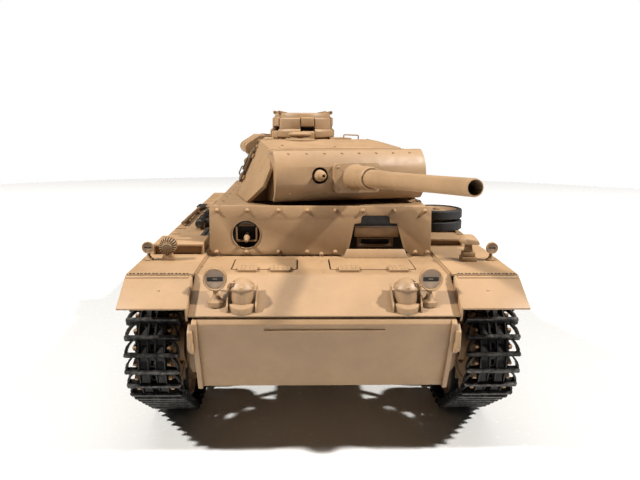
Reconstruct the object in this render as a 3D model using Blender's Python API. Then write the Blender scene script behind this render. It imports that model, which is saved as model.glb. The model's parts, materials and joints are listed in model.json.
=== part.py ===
"""Radio-controlled model of a medium tank at 1/16 scale, as separate named pieces.

Lengths are in millimetres and turn into Blender's metres in place(). Stations (y) are
counted from the seam of the nose plates towards the rear, +X is the tank's left side,
and heights (z) are counted from the hull's own base line, GROUND_Z below which the
tracks stand. ORIGIN_Y and GROUND_Z then move the middle of the whole length to y = 0
and the ground to z = 0. Turret pieces are drawn around the turret ring's axis with the
gun along -Y, and gun pieces around the trunnions with a level barrel: their parent
empties turn them.
"""
import math

import bmesh
import bpy
from mathutils import Matrix, Vector

MM = 0.001
GAP = 0.35                      # clearance between pieces that touch on the real model
GROUND_Z = -9.5                 # the springs hold the hull this much above its base line

# Running gear
TRACK_X = 78.5                  # middle of the track
TRACK_HALF = 12.5
BELT_OUT, BELT_IN = 3.35, 1.2   # link surface outside and inside the hinge pins
HORN_TIP = 6.0                  # guide horn, from the pins inwards
TOOTH_ROW = 7.75                # both rows of sprocket windows, from the track's middle
SPROCKET = (31.9, 40.5)         # y, z
LINK_PITCH = 7.5
TEETH = 20
SPROCKET_R = LINK_PITCH / (2 * math.sin(math.pi / TEETH))
IDLER = (299.0, 37.0)
IDLER_R = 21.6
WHEEL_R = 16.25
WHEEL_Y = [66.0 + 35.75 * i for i in range(6)]
WHEEL_Z = GROUND_Z + BELT_OUT + BELT_IN + WHEEL_R + 0.3
ROLLER_R = 9.7
ROLLER_Y = [95.0, 165.0, 235.0]
ROLLER_Z = 54.0
ARM_REACH, ARM_RISE = 9.0, 18.0

# Hull
HULL_HALF = 58.6
BELLY_Z = 24.9
NOSE_Z = 64.1                   # seam of the nose plates at y = 0
NOSE_FOOT_Y = 15.1
DECK_Y, DECK_Z = 23.0, 77.0     # where the nose slope meets the flat front deck
HULL_REAR_Y = 322.0
REAR_Y = 337.0
WALL = 2.4
TOP_HALF = 59.0                 # upper hull
FRONT_WALL_Y = 71.5
ROOF_Z = 101.8
ROOF_END_Y = 214.0
ENGINE_Z = 95.5
RING_HOLE_R = 47.0
FENDER_TOP = 78.5
FENDER_T = 1.4
FENDER_IN, FENDER_OUT = 59.4, 91.3
FLAP_IN = 61.0
FLAP_Y = 17.5                   # hinge line of the front flaps
FLAP_EDGE = (-1.2, 67.8)        # their lower edge, y and z

# Turret, seen from its ring's axis
RING_Y = 145.7
TURN = 14.34                    # degrees towards +X
TURRET_Z = ROOF_Z + 0.5
TURRET_HALF = 53.5
SIDE_SLOPE = 0.461              # the side plates lean in by this much per mm of height
SIDE_BEND_Y = -8.0              # behind this they also run inwards, by SIDE_TAPER per mm
SIDE_TAPER = 0.2
TURRET_TOP = 135.3
TRUNNION = (-44.0, 116.1)       # y, z
ELEVATION = 3.86                # degrees above level at rest
DRUM_R = 11.4
MUZZLE = 158.9                  # from the trunnions
SHIELD_HALF = 42.9
SHIELD_R = 16.3                 # the gun shield's curve, around SHIELD_MID
SHIELD_MID = (11.8, 1.3)        # forward of and above the trunnions
CUPOLA_Y, CUPOLA_R = 38.5, 22.3
ROOF_REAR = 133.6                # the roof steps down behind its ridge
CUPOLA_TOP = 149.9

MUZZLE_R = 3.45
MUZZLE_REACH = MUZZLE * math.cos(math.radians(ELEVATION)) - TRUNNION[0]
TURN_COS, TURN_SIN = math.cos(math.radians(TURN)), math.sin(math.radians(TURN))
MUZZLE_Y = RING_Y - MUZZLE_REACH * TURN_COS - MUZZLE_R * TURN_SIN
ORIGIN_Y = (MUZZLE_Y + REAR_Y) / 2

PAINT = ("sand_paint", (0.62, 0.42, 0.22), 0.55, 0.0)
STEEL = ("dark_track_steel", (0.035, 0.034, 0.033), 0.45, 0.7)
RUBBER = ("black_rubber", (0.02, 0.02, 0.02), 0.8, 0.0)
BOARD = ("circuit_board", (0.02, 0.12, 0.05), 0.5, 0.0)
CELL = ("battery_wrap", (0.02, 0.05, 0.2), 0.4, 0.0)
MOTOR = ("motor_can", (0.5, 0.5, 0.52), 0.3, 0.9)


# ---------------------------------------------------------------- mesh helpers
def prism(outline, low, high, axis="X"):
    """Extrude a polygon between two planes; outline holds the other two coordinates."""
    bm = bmesh.new()
    slot = "XYZ".index(axis)
    ends = []
    for level in (low, high):
        ends.append([bm.verts.new((*point[:slot], level, *point[slot:])) for point in outline])
    count = len(outline)
    for ring in ends:
        bm.faces.new(ring)
    for i in range(count):
        j = (i + 1) % count
        bm.faces.new((ends[0][i], ends[0][j], ends[1][j], ends[1][i]))
    bmesh.ops.recalc_face_normals(bm, faces=bm.faces)
    return bm


def box(x, y, z):
    return prism([(x[0], y[0]), (x[1], y[0]), (x[1], y[1]), (x[0], y[1])], z[0], z[1], "Z")


def arc(centre, radius, start, end, steps):
    """Points on an arc, with the angles in degrees."""
    angles = [math.radians(start + (end - start) * i / steps) for i in range(steps + 1)]
    return [(centre[0] + radius * math.cos(t), centre[1] + radius * math.sin(t)) for t in angles]


def circle(centre, radius, steps):
    return arc(centre, radius, 0, 360, steps)[:-1]


def rounded(x, y, radius, steps=3):
    """A rectangle with round corners."""
    points = []
    for cx, cy, start in ((x[1], y[1], 0), (x[0], y[1], 90), (x[0], y[0], 180), (x[1], y[0], 270)):
        corner = (cx - math.copysign(radius, cx - sum(x) / 2), cy - math.copysign(radius, cy - sum(y) / 2))
        points += arc(corner, radius, start, start + 90, steps)
    return points


def turned(profile, segments, place_point):
    """Turn a profile of (radius, height) around its height axis; place_point sets it in space."""
    bm = bmesh.new()
    rings = []
    for radius, height in profile:
        if radius == 0:
            rings.append([bm.verts.new(place_point(0, 0, height))])
            continue
        ring = circle((0, 0), radius, segments)
        rings.append([bm.verts.new(place_point(a, b, height)) for a, b in ring])
    for low, high in zip(rings, rings[1:]):
        for i in range(segments):
            j = (i + 1) % segments
            corners = [low[i % len(low)], low[j % len(low)], high[j % len(high)], high[i % len(high)]]
            bm.faces.new(list(dict.fromkeys(corners)))
    bmesh.ops.recalc_face_normals(bm, faces=bm.faces)
    return bm


def along_x(x, y, z, side=1):
    """Height runs along X, outwards on the given side."""
    return lambda a, b, h: (x + side * h, y + a, z + b)


def along_y(x, y, z):
    """Height runs towards -Y."""
    return lambda a, b, h: (x + a, y - h, z + b)


def along_z(x, y, z):
    return lambda a, b, h: (x + a, y + b, z + h)


def rod(place_point, radius, low, high, segments=16):
    return turned([(0, low), (radius, low), (radius, high), (0, high)], segments, place_point)


def hull(points):
    """The convex solid around a few corner points."""
    bm = bmesh.new()
    for point in points:
        bm.verts.new(point)
    bmesh.ops.convex_hull(bm, input=bm.verts)
    loose = [v for v in bm.verts if not v.link_faces]
    bmesh.ops.delete(bm, geom=loose, context="VERTS")
    bmesh.ops.dissolve_limit(bm, angle_limit=0.001, verts=bm.verts, edges=bm.edges)
    bmesh.ops.recalc_face_normals(bm, faces=bm.faces)
    return bm


def mirrored(points):
    """The same points on both sides of the tank."""
    return [(sign * x, y, z) for x, y, z in points for sign in (-1, 1)]


def combine(base, tool, operation):
    """Join or cut two closed meshes and return the result."""
    objects = []
    for bm in (base, tool):
        mesh = bpy.data.meshes.new("work")
        bm.to_mesh(mesh)
        bm.free()
        objects.append(bpy.data.objects.new("work", mesh))
        bpy.context.scene.collection.objects.link(objects[-1])
    modifier = objects[0].modifiers.new("Boolean", "BOOLEAN")
    modifier.operation = operation
    modifier.solver = "EXACT"
    modifier.object = objects[1]
    evaluated = objects[0].evaluated_get(bpy.context.evaluated_depsgraph_get())
    result = bmesh.new()
    result.from_mesh(evaluated.to_mesh())
    evaluated.to_mesh_clear()
    for item in objects:
        mesh = item.data
        bpy.data.objects.remove(item)
        bpy.data.meshes.remove(mesh)
    bmesh.ops.dissolve_limit(result, angle_limit=0.002, verts=result.verts, edges=result.edges)
    return result


def union(base, *tools):
    for tool in tools:
        base = combine(base, tool, "UNION")
    return base


def cut(base, *tools):
    for tool in tools:
        base = combine(base, tool, "DIFFERENCE")
    return base


# ---------------------------------------------------------------- objects
def material(look):
    name, colour, roughness, metallic = look
    found = bpy.data.materials.get(name)
    if found:
        return found
    made = bpy.data.materials.new(name)
    made.use_nodes = True
    shader = made.node_tree.nodes["Principled BSDF"]
    shader.inputs["Base Color"].default_value = (*colour, 1)
    shader.inputs["Roughness"].default_value = roughness
    shader.inputs["Metallic"].default_value = metallic
    made.diffuse_color = (*colour, 1)
    return made


def place(name, bm, look, pivot=(0, 0, 0), parent=None):
    """Make the named object with its origin at pivot, in its parent's frame."""
    bm.transform(Matrix.Scale(MM, 4) @ Matrix.Translation(-Vector(pivot)))
    mesh = bpy.data.meshes.new(name)
    bm.to_mesh(mesh)
    bm.free()
    mesh.shade_smooth()
    mesh.set_sharp_from_angle(angle=math.radians(32))
    mesh.materials.append(material(look))
    item = bpy.data.objects.new(name, mesh)
    bpy.context.scene.collection.objects.link(item)
    base = Vector((0, 0, 0)) if parent else Vector((0, ORIGIN_Y, GROUND_Z))
    item.location = (Vector(pivot) - base) * MM
    item.parent = parent
    return item


def frame_empty(name, location, rotation, parent=None):
    empty = bpy.data.objects.new(name, None)
    bpy.context.scene.collection.objects.link(empty)
    empty.empty_display_size = 0.02
    empty.location = Vector(location) * MM
    empty.rotation_euler = [math.radians(angle) for angle in rotation]
    empty.parent = parent
    return empty


SIDES = (("left", 1), ("right", -1))


# ---------------------------------------------------------------- running gear
def belt_path():
    """Pin line of the track: arcs around the wheels, tangents between them, a little sag."""
    rest = BELT_IN + 0.3
    wheels = [(*SPROCKET, SPROCKET_R)]
    wheels += [(y, ROLLER_Z, ROLLER_R + rest) for y in ROLLER_Y]
    wheels += [(*IDLER, IDLER_R + rest)]
    wheels += [(y, WHEEL_Z, WHEEL_R + rest) for y in (WHEEL_Y[-1], WHEEL_Y[0])]
    normals = []
    for a, b in zip(wheels, wheels[1:] + wheels[:1]):
        along = math.atan2(b[1] - a[1], b[0] - a[0])
        lift = math.asin((a[2] - b[2]) / math.hypot(b[0] - a[0], b[1] - a[1]))
        normals.append(along + math.pi / 2 - lift)
    path = []
    for i, (y, z, radius) in enumerate(wheels):
        start, end = normals[i - 1], normals[i]
        sweep = (start - end) % (2 * math.pi)
        steps = max(1, math.ceil(math.degrees(sweep) / 13))
        for k in range(steps + 1):
            angle = start - sweep * k / steps
            path.append((y + radius * math.cos(angle), z + radius * math.sin(angle), angle))
        following = wheels[(i + 1) % len(wheels)]
        if z + radius > SPROCKET[1] and following[1] + following[2] > SPROCKET[1] and i < 4:
            path.append(sag_point(path[-1], following, normals[i]))
    return path


def sag_point(start, wheel, angle):
    """The lowest point of the slack between two return rollers."""
    end_y = wheel[0] + wheel[2] * math.cos(angle)
    end_z = wheel[1] + wheel[2] * math.sin(angle)
    return ((start[0] + end_y) / 2, (start[1] + end_z) / 2 - 1.0, angle)


def track(side):
    """One closed belt: horns run along its middle, and slots take the sprocket's teeth."""
    slot, horn, top = 1.7, 1.5, 2.3
    section = [(-TRACK_HALF, BELT_OUT), (TRACK_HALF, BELT_OUT), (TRACK_HALF, -BELT_IN)]
    for row in (TOOTH_ROW, -TOOTH_ROW):
        section += [(row + slot, -BELT_IN), (row + slot, top), (row - slot, top), (row - slot, -BELT_IN)]
        if row > 0:
            section += [(horn, -BELT_IN), (0.8, -HORN_TIP), (-0.8, -HORN_TIP), (-horn, -BELT_IN)]
    section += [(-TRACK_HALF, -BELT_IN)]
    bm = bmesh.new()
    rings = []
    for y, z, angle in belt_path():
        rings.append([bm.verts.new((side * TRACK_X + w, y + r * math.cos(angle), z + r * math.sin(angle)))
                      for w, r in section])
    for low, high in zip(rings, rings[1:] + rings[:1]):
        for i in range(len(section)):
            j = (i + 1) % len(section)
            bm.faces.new((low[i], low[j], high[j], high[i]))
    bmesh.ops.recalc_face_normals(bm, faces=bm.faces)
    return bm


def sprocket(side):
    """Two toothed rings on a drum, with the hub cap outside."""
    root, tip = 21.2, 25.5
    outline = []
    for tooth in range(TEETH):
        for radius, turn in ((root, -0.27), (tip, -0.12), (tip, 0.12), (root, 0.27)):
            angle = 2 * math.pi * (tooth + turn) / TEETH
            outline.append((SPROCKET[0] - radius * math.cos(angle), SPROCKET[1] + radius * math.sin(angle)))
    drum = turned([(0, -11.8), (9, -11.8), (15, -9.2), (15, 7.4), (9, 8.4), (7, 11.5), (0, 11.5)], 20,
                  along_x(side * TRACK_X, *SPROCKET, side))
    rings = [prism(outline, side * TRACK_X + row - 1.2, side * TRACK_X + row + 1.2)
             for row in (-TOOTH_ROW, TOOTH_ROW)]
    return union(drum, *rings)


def idler(side):
    profile = [(0, -11.5), (7, -11.5), (17, -8.6), (IDLER_R, -8.6), (IDLER_R, -2.2), (14, -2.2),
               (14, 2.2), (IDLER_R, 2.2), (IDLER_R, 8.6), (17, 8.6), (7, 7.2), (5.5, 10.4), (0, 10.4)]
    return turned(profile, 20, along_x(side * TRACK_X, *IDLER, side))


def road_wheel(side, y):
    """A pair of tyred discs on one hub; the guide horns run between them."""
    profile = [(0, -10.5), (4.5, -10.5), (12.5, -6.6), (WHEEL_R, -8), (WHEEL_R, -2), (9, -2),
               (9, 2), (WHEEL_R, 2), (WHEEL_R, 8), (12.5, 6.6), (4.5, 8.4), (0, 8.4)]
    return turned(profile, 15, along_x(side * TRACK_X, y, WHEEL_Z, side))


def return_roller(side, y):
    profile = [(0, -9.5), (3.5, -9.5), (ROLLER_R, -6.8), (ROLLER_R, -2), (4.4, -2), (4.4, 2),
               (ROLLER_R, 2), (ROLLER_R, 6.8), (0, 6.8)]
    return turned(profile, 12, along_x(side * TRACK_X, y, ROLLER_Z, side))


def build_running_gear():
    for name, side in SIDES:
        x = side * TRACK_X
        place(f"track_{name}", track(side), STEEL)
        place(f"sprocket_{name}", sprocket(side), PAINT, (x, *SPROCKET))
        place(f"idler_{name}", idler(side), PAINT, (x, *IDLER))
        for i, y in enumerate(WHEEL_Y):
            place(f"road_wheel_{name}_{i + 1}", road_wheel(side, y), RUBBER, (x, y, WHEEL_Z))
        for i, y in enumerate(ROLLER_Y):
            place(f"return_roller_{name}_{i + 1}", return_roller(side, y), RUBBER, (x, y, ROLLER_Z))


# ---------------------------------------------------------------- hull
HATCHES = {"left": (4.2, 45.5), "right": (-44.2, -12.8)}    # x limits of the front deck's hatches
HATCH_Y = (33.4, 57.0)
HATCH_HINGE = (31.9, 78.9)                                  # y, z
ENGINE_HATCH_X = (2.5, 30.0)
ENGINE_HATCH_Y = (236.0, 286.0)


def swing_arm(side, y):
    """Trailing arm with its axle, one piece with the hull here."""
    pivot = (y - ARM_REACH, WHEEL_Z + ARM_RISE)
    tilt = math.degrees(math.atan2(-ARM_RISE, ARM_REACH))
    outline = arc(pivot, 5.0, tilt + 90, tilt + 270, 4) + arc((y, WHEEL_Z), 4.2, tilt - 90, tilt + 90, 4)
    inner, outer = side * (HULL_HALF - 1), side * 62.6
    arm = prism(outline, min(inner, outer), max(inner, outer))
    axle = rod(along_x(0, y, WHEEL_Z, side), 3.0, HULL_HALF - 1, TRACK_X - 10.5 - 0.6, 8)
    return union(arm, axle)


def lower_hull():
    """Tub: nose, belly, sides, tail and the flat front deck, with axles outside."""
    outer = [(0, NOSE_Z), (NOSE_FOOT_Y, BELLY_Z), (300, BELLY_Z), (HULL_REAR_Y, 48), (HULL_REAR_Y, 76.4),
             (FRONT_WALL_Y + 2, 76.4), (FRONT_WALL_Y + 2, DECK_Z), (DECK_Y, DECK_Z)]
    inner = [(4, NOSE_Z - 1), (NOSE_FOOT_Y + 2.5, BELLY_Z + WALL), (299, BELLY_Z + WALL),
             (HULL_REAR_Y - WALL, 50), (HULL_REAR_Y - WALL, 90), (FRONT_WALL_Y + 6, 90),
             (FRONT_WALL_Y + 6, DECK_Z - 1.8), (DECK_Y + 1.5, DECK_Z - 1.8)]
    tub = prism(outer, -HULL_HALF, HULL_HALF)
    tub = cut(tub, prism(inner, WALL - HULL_HALF, HULL_HALF - WALL))
    for low, high in HATCHES.values():
        tub = cut(tub, box((low + 2.5, high - 2.5), (HATCH_Y[0] + 2.5, HATCH_Y[1] - 2.5), (70, 90)))
    for _, side in SIDES:
        inner_x, outer_x = sorted((side * (HULL_HALF - 1), side * (HULL_HALF + 2)))
        eye = prism([(1.5, 59.8), (-2.5, 56), (-2.5, 49), (9, 43), (16, 43), (16, 59.8)], inner_x, outer_x)
        eye = cut(eye, rod(along_x(0, 1.8, 53, 1), 2.1, inner_x - 2, outer_x + 2, 10))
        tub = union(tub, eye)
        tub = union(tub, rod(along_x(0, *SPROCKET, side), 15, HULL_HALF - 1, 65.3, 20))
        tub = union(tub, rod(along_x(0, *IDLER, side), 6, HULL_HALF - 1, 66.2, 12))
        for y in WHEEL_Y:
            tub = union(tub, swing_arm(side, y))
        for y in ROLLER_Y:
            tub = union(tub, rod(along_x(0, y, ROLLER_Z, side), 2.2, HULL_HALF - 1, TRACK_X - 10, 8))
    return tub


def upper_hull():
    """Superstructure with the turret opening, and the engine deck behind it."""
    base = DECK_Z + GAP
    outer = [(FRONT_WALL_Y, base), (FRONT_WALL_Y + 3.2, ROOF_Z), (ROOF_END_Y, ROOF_Z),
             (ROOF_END_Y + 8, ENGINE_Z), (300, ENGINE_Z - 2), (REAR_Y - 4, ENGINE_Z - 8),
             (REAR_Y, ENGINE_Z - 14), (REAR_Y, base)]
    t = 2.2
    inner = [(FRONT_WALL_Y + t, 60), (FRONT_WALL_Y + t + 3, ROOF_Z - t), (ROOF_END_Y - 1, ROOF_Z - t),
             (ROOF_END_Y + 7, ENGINE_Z - t), (299, ENGINE_Z - 2 - t),
             (REAR_Y - 16, ENGINE_Z - 7 - t), (REAR_Y - 16, 60)]
    shell = prism(outer, -TOP_HALF, TOP_HALF)
    shell = cut(shell, prism(inner, t - TOP_HALF, TOP_HALF - t))
    shell = cut(shell, rod(along_z(0, RING_Y, 0), RING_HOLE_R, 90, 110, 40))
    for sign in (-1, 1):
        x = sorted((sign * (ENGINE_HATCH_X[0] + 2), sign * (ENGINE_HATCH_X[1] - 2)))
        shell = cut(shell, box(x, (ENGINE_HATCH_Y[0] + 2, ENGINE_HATCH_Y[1] - 2), (80, 110)))
    shell = cut(shell, rod(along_y(MG_X, 90, MG_Z), 6.4, 5, 30, 16))
    return cut(shell, box((VISOR_X - 12.2, VISOR_X + 12.2), (60, 80), (81, 93.5)))


MG_X, MG_Z = -39.6, 88.6
VISOR_X = 30.2
PLATE_Y, PLATE_LEAN, PLATE_T = 63.2, 3.0, 1.6
PLATE_Z = (77.8, 103.6)


def front_armour_plate():
    """Spaced plate on four bosses, open around the machine gun and the driver's visor."""
    low, high = PLATE_Z
    top_y = PLATE_Y + PLATE_LEAN
    side = [(PLATE_Y, low), (top_y, high), (top_y + PLATE_T, high), (PLATE_Y + PLATE_T, low)]
    plate = prism(side, -TOP_HALF, TOP_HALF)
    for sign in (-1, 1):
        for z in (81.5, 98.5):
            lean = 3.2 * (z - DECK_Z) / (ROOF_Z - DECK_Z)
            back = FRONT_WALL_Y + lean - 2 * GAP
            start = PLATE_Y + 1 + lean / 2
            plate = union(plate, rod(along_y(sign * 52, 0, z), 2.5, -back, -start, 8))
    window = [(-7.8, 98.2), (7.8, 98.2), (7.8, 94), (11.3, 94), (15, 80), (-15, 80), (-11.3, 94), (-7.8, 94)]
    window = [(VISOR_X + x, z) for x, z in window]
    return cut(plate, prism(window, 50, 90, "Y"), rod(along_y(MG_X, 90, MG_Z), 7.3, 5, 40, 20))


def driver_visor():
    """Upper visor block; it slides down over the slit."""
    y = PLATE_Y + PLATE_LEAN + PLATE_T
    return box((VISOR_X - 11.6, VISOR_X + 11.6), (y, y + 3.2), (88.2, 94.4))


def hull_machine_gun():
    """Ball with a short barrel in its sleeve."""
    ball = [(0, -5.6)] + [(5.8 * math.cos(math.radians(a)), 5.8 * math.sin(math.radians(a)))
                          for a in range(-60, 70, 20)]
    profile = ball + [(2.4, 6.0), (1.3, 13.5), (0, 13.5)]
    return turned(profile, 14, along_y(MG_X, FRONT_WALL_Y + 4, MG_Z))


def glacis_hatch(low, high):
    leaf = prism(rounded((low, high), HATCH_Y, 1.5, 2), DECK_Z + GAP, DECK_Z + GAP + 1.4, "Z")
    width = high - low
    for centre in (low + 0.2 * width, high - 0.2 * width):
        tongue = box((centre - 4, centre + 4), (HATCH_HINGE[0], HATCH_Y[0] + 2), (DECK_Z + GAP, DECK_Z + 1.9))
        leaf = union(leaf, rod(along_x(centre, *HATCH_HINGE, 1), 1.2, -4, 4, 8), tongue)
    return leaf


def engine_hatch(sign):
    x = sorted((sign * ENGINE_HATCH_X[0], sign * ENGINE_HATCH_X[1]))
    slope = 2.0 / (300 - ROOF_END_Y - 8)
    corners = []
    for y in ENGINE_HATCH_Y:
        z = ENGINE_Z - slope * (y - ROOF_END_Y - 8) + GAP
        corners += [(edge, y, z + lift) for edge in x for lift in (0, 1.6)]
    z = ENGINE_Z - slope * (sum(ENGINE_HATCH_Y) / 2 - ROOF_END_Y - 8) + 1.6
    hinge = rod(lambda a, b, h: (sign * ENGINE_HATCH_X[1] + a, h, z + b + slope * (261 - h)), 1.1,
                ENGINE_HATCH_Y[0] + 6, ENGINE_HATCH_Y[1] - 6, 8)
    return union(hull(corners), hinge)


def fender(side):
    """Flat guard over the track with a turned-down rim and tail, and its stowage box."""
    top, low = FENDER_TOP, FENDER_TOP - FENDER_T
    strip = [(FLAP_Y + 1.2, top), (FLAP_Y + 1.2, low), (REAR_Y - 9, low), (REAR_Y - 1.5, low - 8),
             (REAR_Y, low - 7.6), (REAR_Y - 8.2, top)]
    inner, outer = side * FENDER_IN, side * FENDER_OUT
    guard = prism(strip, min(inner, outer), max(inner, outer))
    rim = side * (FENDER_OUT - 1.1)
    guard = union(guard, box(sorted((rim, outer)), (FLAP_Y + 1.2, REAR_Y - 12), (low - 2.2, low + 0.5)))
    notch = sorted((side * (FENDER_IN - 2), side * FLAP_IN))
    guard = cut(guard, box(notch, (FLAP_Y, FRONT_WALL_Y), (low - 2, top + 2)))
    if side > 0:
        return union(guard, box((62, 81), (84.3, 103.5), (low + 0.4, 82.6)))
    return union(guard, box((-88, -62), (59.5, 83.5), (low + 0.4, 84.2)))


FLAP_HINGE = (FLAP_Y - 0.3, FENDER_TOP - 0.1)               # y, z


def front_flap(side):
    """Sloping front end of the fender on a piano hinge."""
    y, z = FLAP_EDGE
    run, rise = FLAP_Y - y, FENDER_TOP - z
    length = math.hypot(run, rise)
    down = (rise / length * FENDER_T, -run / length * FENDER_T)
    outline = [(y, z), (FLAP_Y, FENDER_TOP), (FLAP_Y + down[0], FENDER_TOP + down[1]),
               (y + down[0], z + down[1])]
    inner, outer = side * FLAP_IN, side * FENDER_OUT
    flap = prism(outline, min(inner, outer), max(inner, outer))
    return union(flap, rod(along_x(0, *FLAP_HINGE, side), 0.95, FLAP_IN, FENDER_OUT, 8))


def nose_z(y):
    """Height of the nose's upper slope."""
    return NOSE_Z + (DECK_Z - NOSE_Z) * y / DECK_Y


def headlight(side):
    """Round lamp on a stalk with a bolted flange."""
    x, y, z = side * 48.8, 6.4, 79.2
    shell = [(0, -4.6), (2.6, -4.3), (4.6, -2.6), (5.3, 0), (5.3, 3.4), (0, 3.4)]
    lamp = turned(shell, 20, along_y(x, y + 0.6, z))
    stalk = rod(along_z(x, y, 0), 1.7, nose_z(y) + 1.4, z - 2, 10)
    foot = hull([(x + a, y + b, nose_z(y + b) + c)
                 for a in (-3.4, 3.4) for b in (-2.2, 2.6) for c in (0.5, 1.9)])
    return union(lamp, stalk, foot)


VENT_Y = 6.9


def brake_vent(side):
    """Armoured air inlet on the nose slope: a flange, a drum and a domed lid."""
    slope = math.atan2(DECK_Z - NOSE_Z, DECK_Y)
    centre = Vector((side * 37.6, VENT_Y, nose_z(VENT_Y)))
    up = Vector((0, -math.sin(slope), math.cos(slope)))
    back = Vector((0, math.cos(slope), math.sin(slope)))
    profile = [(0, 0.4), (7.2, 0.4), (7.2, 2.3), (5.6, 2.7), (5.6, 3.9), (6.9, 4.3), (6.7, 5.4), (4.4, 6.9),
               (0, 7.3)]
    return turned(profile, 18, lambda a, b, h: centre + Vector((a, 0, 0)) + back * b + up * h)


def width_lamp(side):
    """Small round marker lamp on a foot."""
    x, y, z = side * 87.4, 47.0, 85.2
    lamp = turned([(0, -2.4), (1.8, -2), (3.0, 0), (3.0, 1.6), (0, 1.6)], 14, along_y(x, y, z))
    return union(lamp, rod(along_z(x, y + 0.6, 0), 1.0, FENDER_TOP + GAP, z - 1.5, 8),
                 rod(along_z(x, y + 0.6, 0), 2.2, FENDER_TOP + GAP, FENDER_TOP + 1.4, 10))


def horn():
    """Round horn behind a slotted grille."""
    x, y, z = -77.6, 47.0, 85.9
    bell = turned([(0, -3.6), (2.4, -3.2), (4.0, -0.6), (4.1, 1.8), (0, 2.2)], 18, along_y(x, y, z))
    return union(bell, hull([(x + a, y + b, c) for c, w in ((FENDER_TOP + GAP, 3.6), (FENDER_TOP + 4.5, 1.8))
                             for a in (-w, w) for b in (-1.5, 2.5)]))


def convoy_light():
    """Faceted lamp on a square stem and a stepped foot."""
    x, y, z = 74.8, 47.0, FENDER_TOP + GAP
    lamp = box((x - 3.8, x + 3.8), (y - 3.2, y + 3.2), (z, z + 2.2))
    lamp = union(lamp, box((x - 3.1, x + 3.1), (y - 2.6, y + 2.6), (z + 1.8, z + 4.4)))
    lamp = union(lamp, box((x - 1.7, x + 1.7), (y - 1.7, y + 1.7), (z + 4.0, z + 9.4)))
    low = [(x + a, y + b, z + 8.6) for a in (-4.6, 4.8) for b in (-3.6, 3.2)]
    mid = [(x + a, y + b, z + 11.4) for a in (-4.4, 4.6) for b in (-3.4, 3.2)]
    top = [(x + 0.5, y + b, z + 13.3) for b in (0.2, 3.2)]
    return union(lamp, hull(low + mid + top))


def spare_wheels():
    """A spare pair of road wheels lying flat on the fender."""
    r, z = 15.8, FENDER_TOP + GAP
    profile = [(0, 0), (6, 0), (6, 1.2), (r, 1.2), (r, 6.8), (9, 6.8), (9, 9.0), (r, 9.0), (r, 14.6),
               (12, 14.2), (5.2, 16.2), (0, 16.2)]
    return turned(profile, 20, along_z(75.4, 130.0, z))


def exhaust_muffler():
    """Silencer drum across the tail, held by two feet."""
    y, z = 329.8, 60.5
    drum = turned([(0, -36), (5, -36), (6.6, -34.5), (6.6, 34.5), (5, 36), (0, 36)], 16, along_x(0, y, z))
    for x in (-22, 22):
        drum = union(drum, box((x - 3, x + 3), (HULL_REAR_Y + GAP, y), (z - 2, z + 2)))
    return drum


def build_hull():
    place("lower_hull", lower_hull(), PAINT)
    place("upper_hull", upper_hull(), PAINT)
    place("front_armour_plate", front_armour_plate(), PAINT)
    place("driver_visor", driver_visor(), PAINT)
    place("hull_machine_gun", hull_machine_gun(), PAINT, (MG_X, FRONT_WALL_Y + 4, MG_Z))
    place("horn", horn(), PAINT)
    place("convoy_light", convoy_light(), PAINT)
    place("spare_wheels", spare_wheels(), RUBBER)
    place("exhaust_muffler", exhaust_muffler(), PAINT)
    for name, side in SIDES:
        place(f"fender_{name}", fender(side), PAINT)
        place(f"front_flap_{name}", front_flap(side), PAINT, (side * TRACK_X, *FLAP_HINGE))
        middle = sum(HATCHES[name]) / 2
        place(f"glacis_hatch_{name}", glacis_hatch(*HATCHES[name]), PAINT, (middle, *HATCH_HINGE))
        hinge = (side * ENGINE_HATCH_X[1], sum(ENGINE_HATCH_Y) / 2, ENGINE_Z + 0.6)
        place(f"engine_hatch_{name}", engine_hatch(side), PAINT, hinge)
        place(f"headlight_{name}", headlight(side), PAINT)
        place(f"brake_vent_{name}", brake_vent(side), PAINT)
        place(f"width_lamp_{name}", width_lamp(side), PAINT)


# ---------------------------------------------------------------- drive and electronics
def drive_gearboxes():
    """Both track gearboxes on one frame, with a motor on each."""
    frame = box((-50, 50), (24, 52), (30, 52))
    for x in (-30, 30):
        frame = union(frame, rod(lambda a, b, h, x=x: (x + a, h, 41 + b), 11, 50, 92, 14))
    return frame


def turret_motor():
    """Motor that turns the turret, with its pinion on top."""
    x, y = 30.0, 190.0
    body = rod(along_z(x, y, 0), 9.0, 56, 84, 14)
    return union(body, rod(along_z(x, y, 0), 3.5, 83, 92, 10))


def build_electronics():
    place("drive_gearboxes", drive_gearboxes(), MOTOR)
    place("battery_pack", box((-24, 24), (206, 290), (29, 52)), CELL)
    place("control_board", box((-36, 36), (118, 176), (42, 50)), BOARD)
    place("turret_motor", turret_motor(), MOTOR)


# ---------------------------------------------------------------- turret
def side_x(y, z, inset=0.0):
    taper = SIDE_TAPER * max(0.0, y - SIDE_BEND_Y)
    return TURRET_HALF - SIDE_SLOPE * (z - TURRET_Z) - taper - inset


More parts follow.
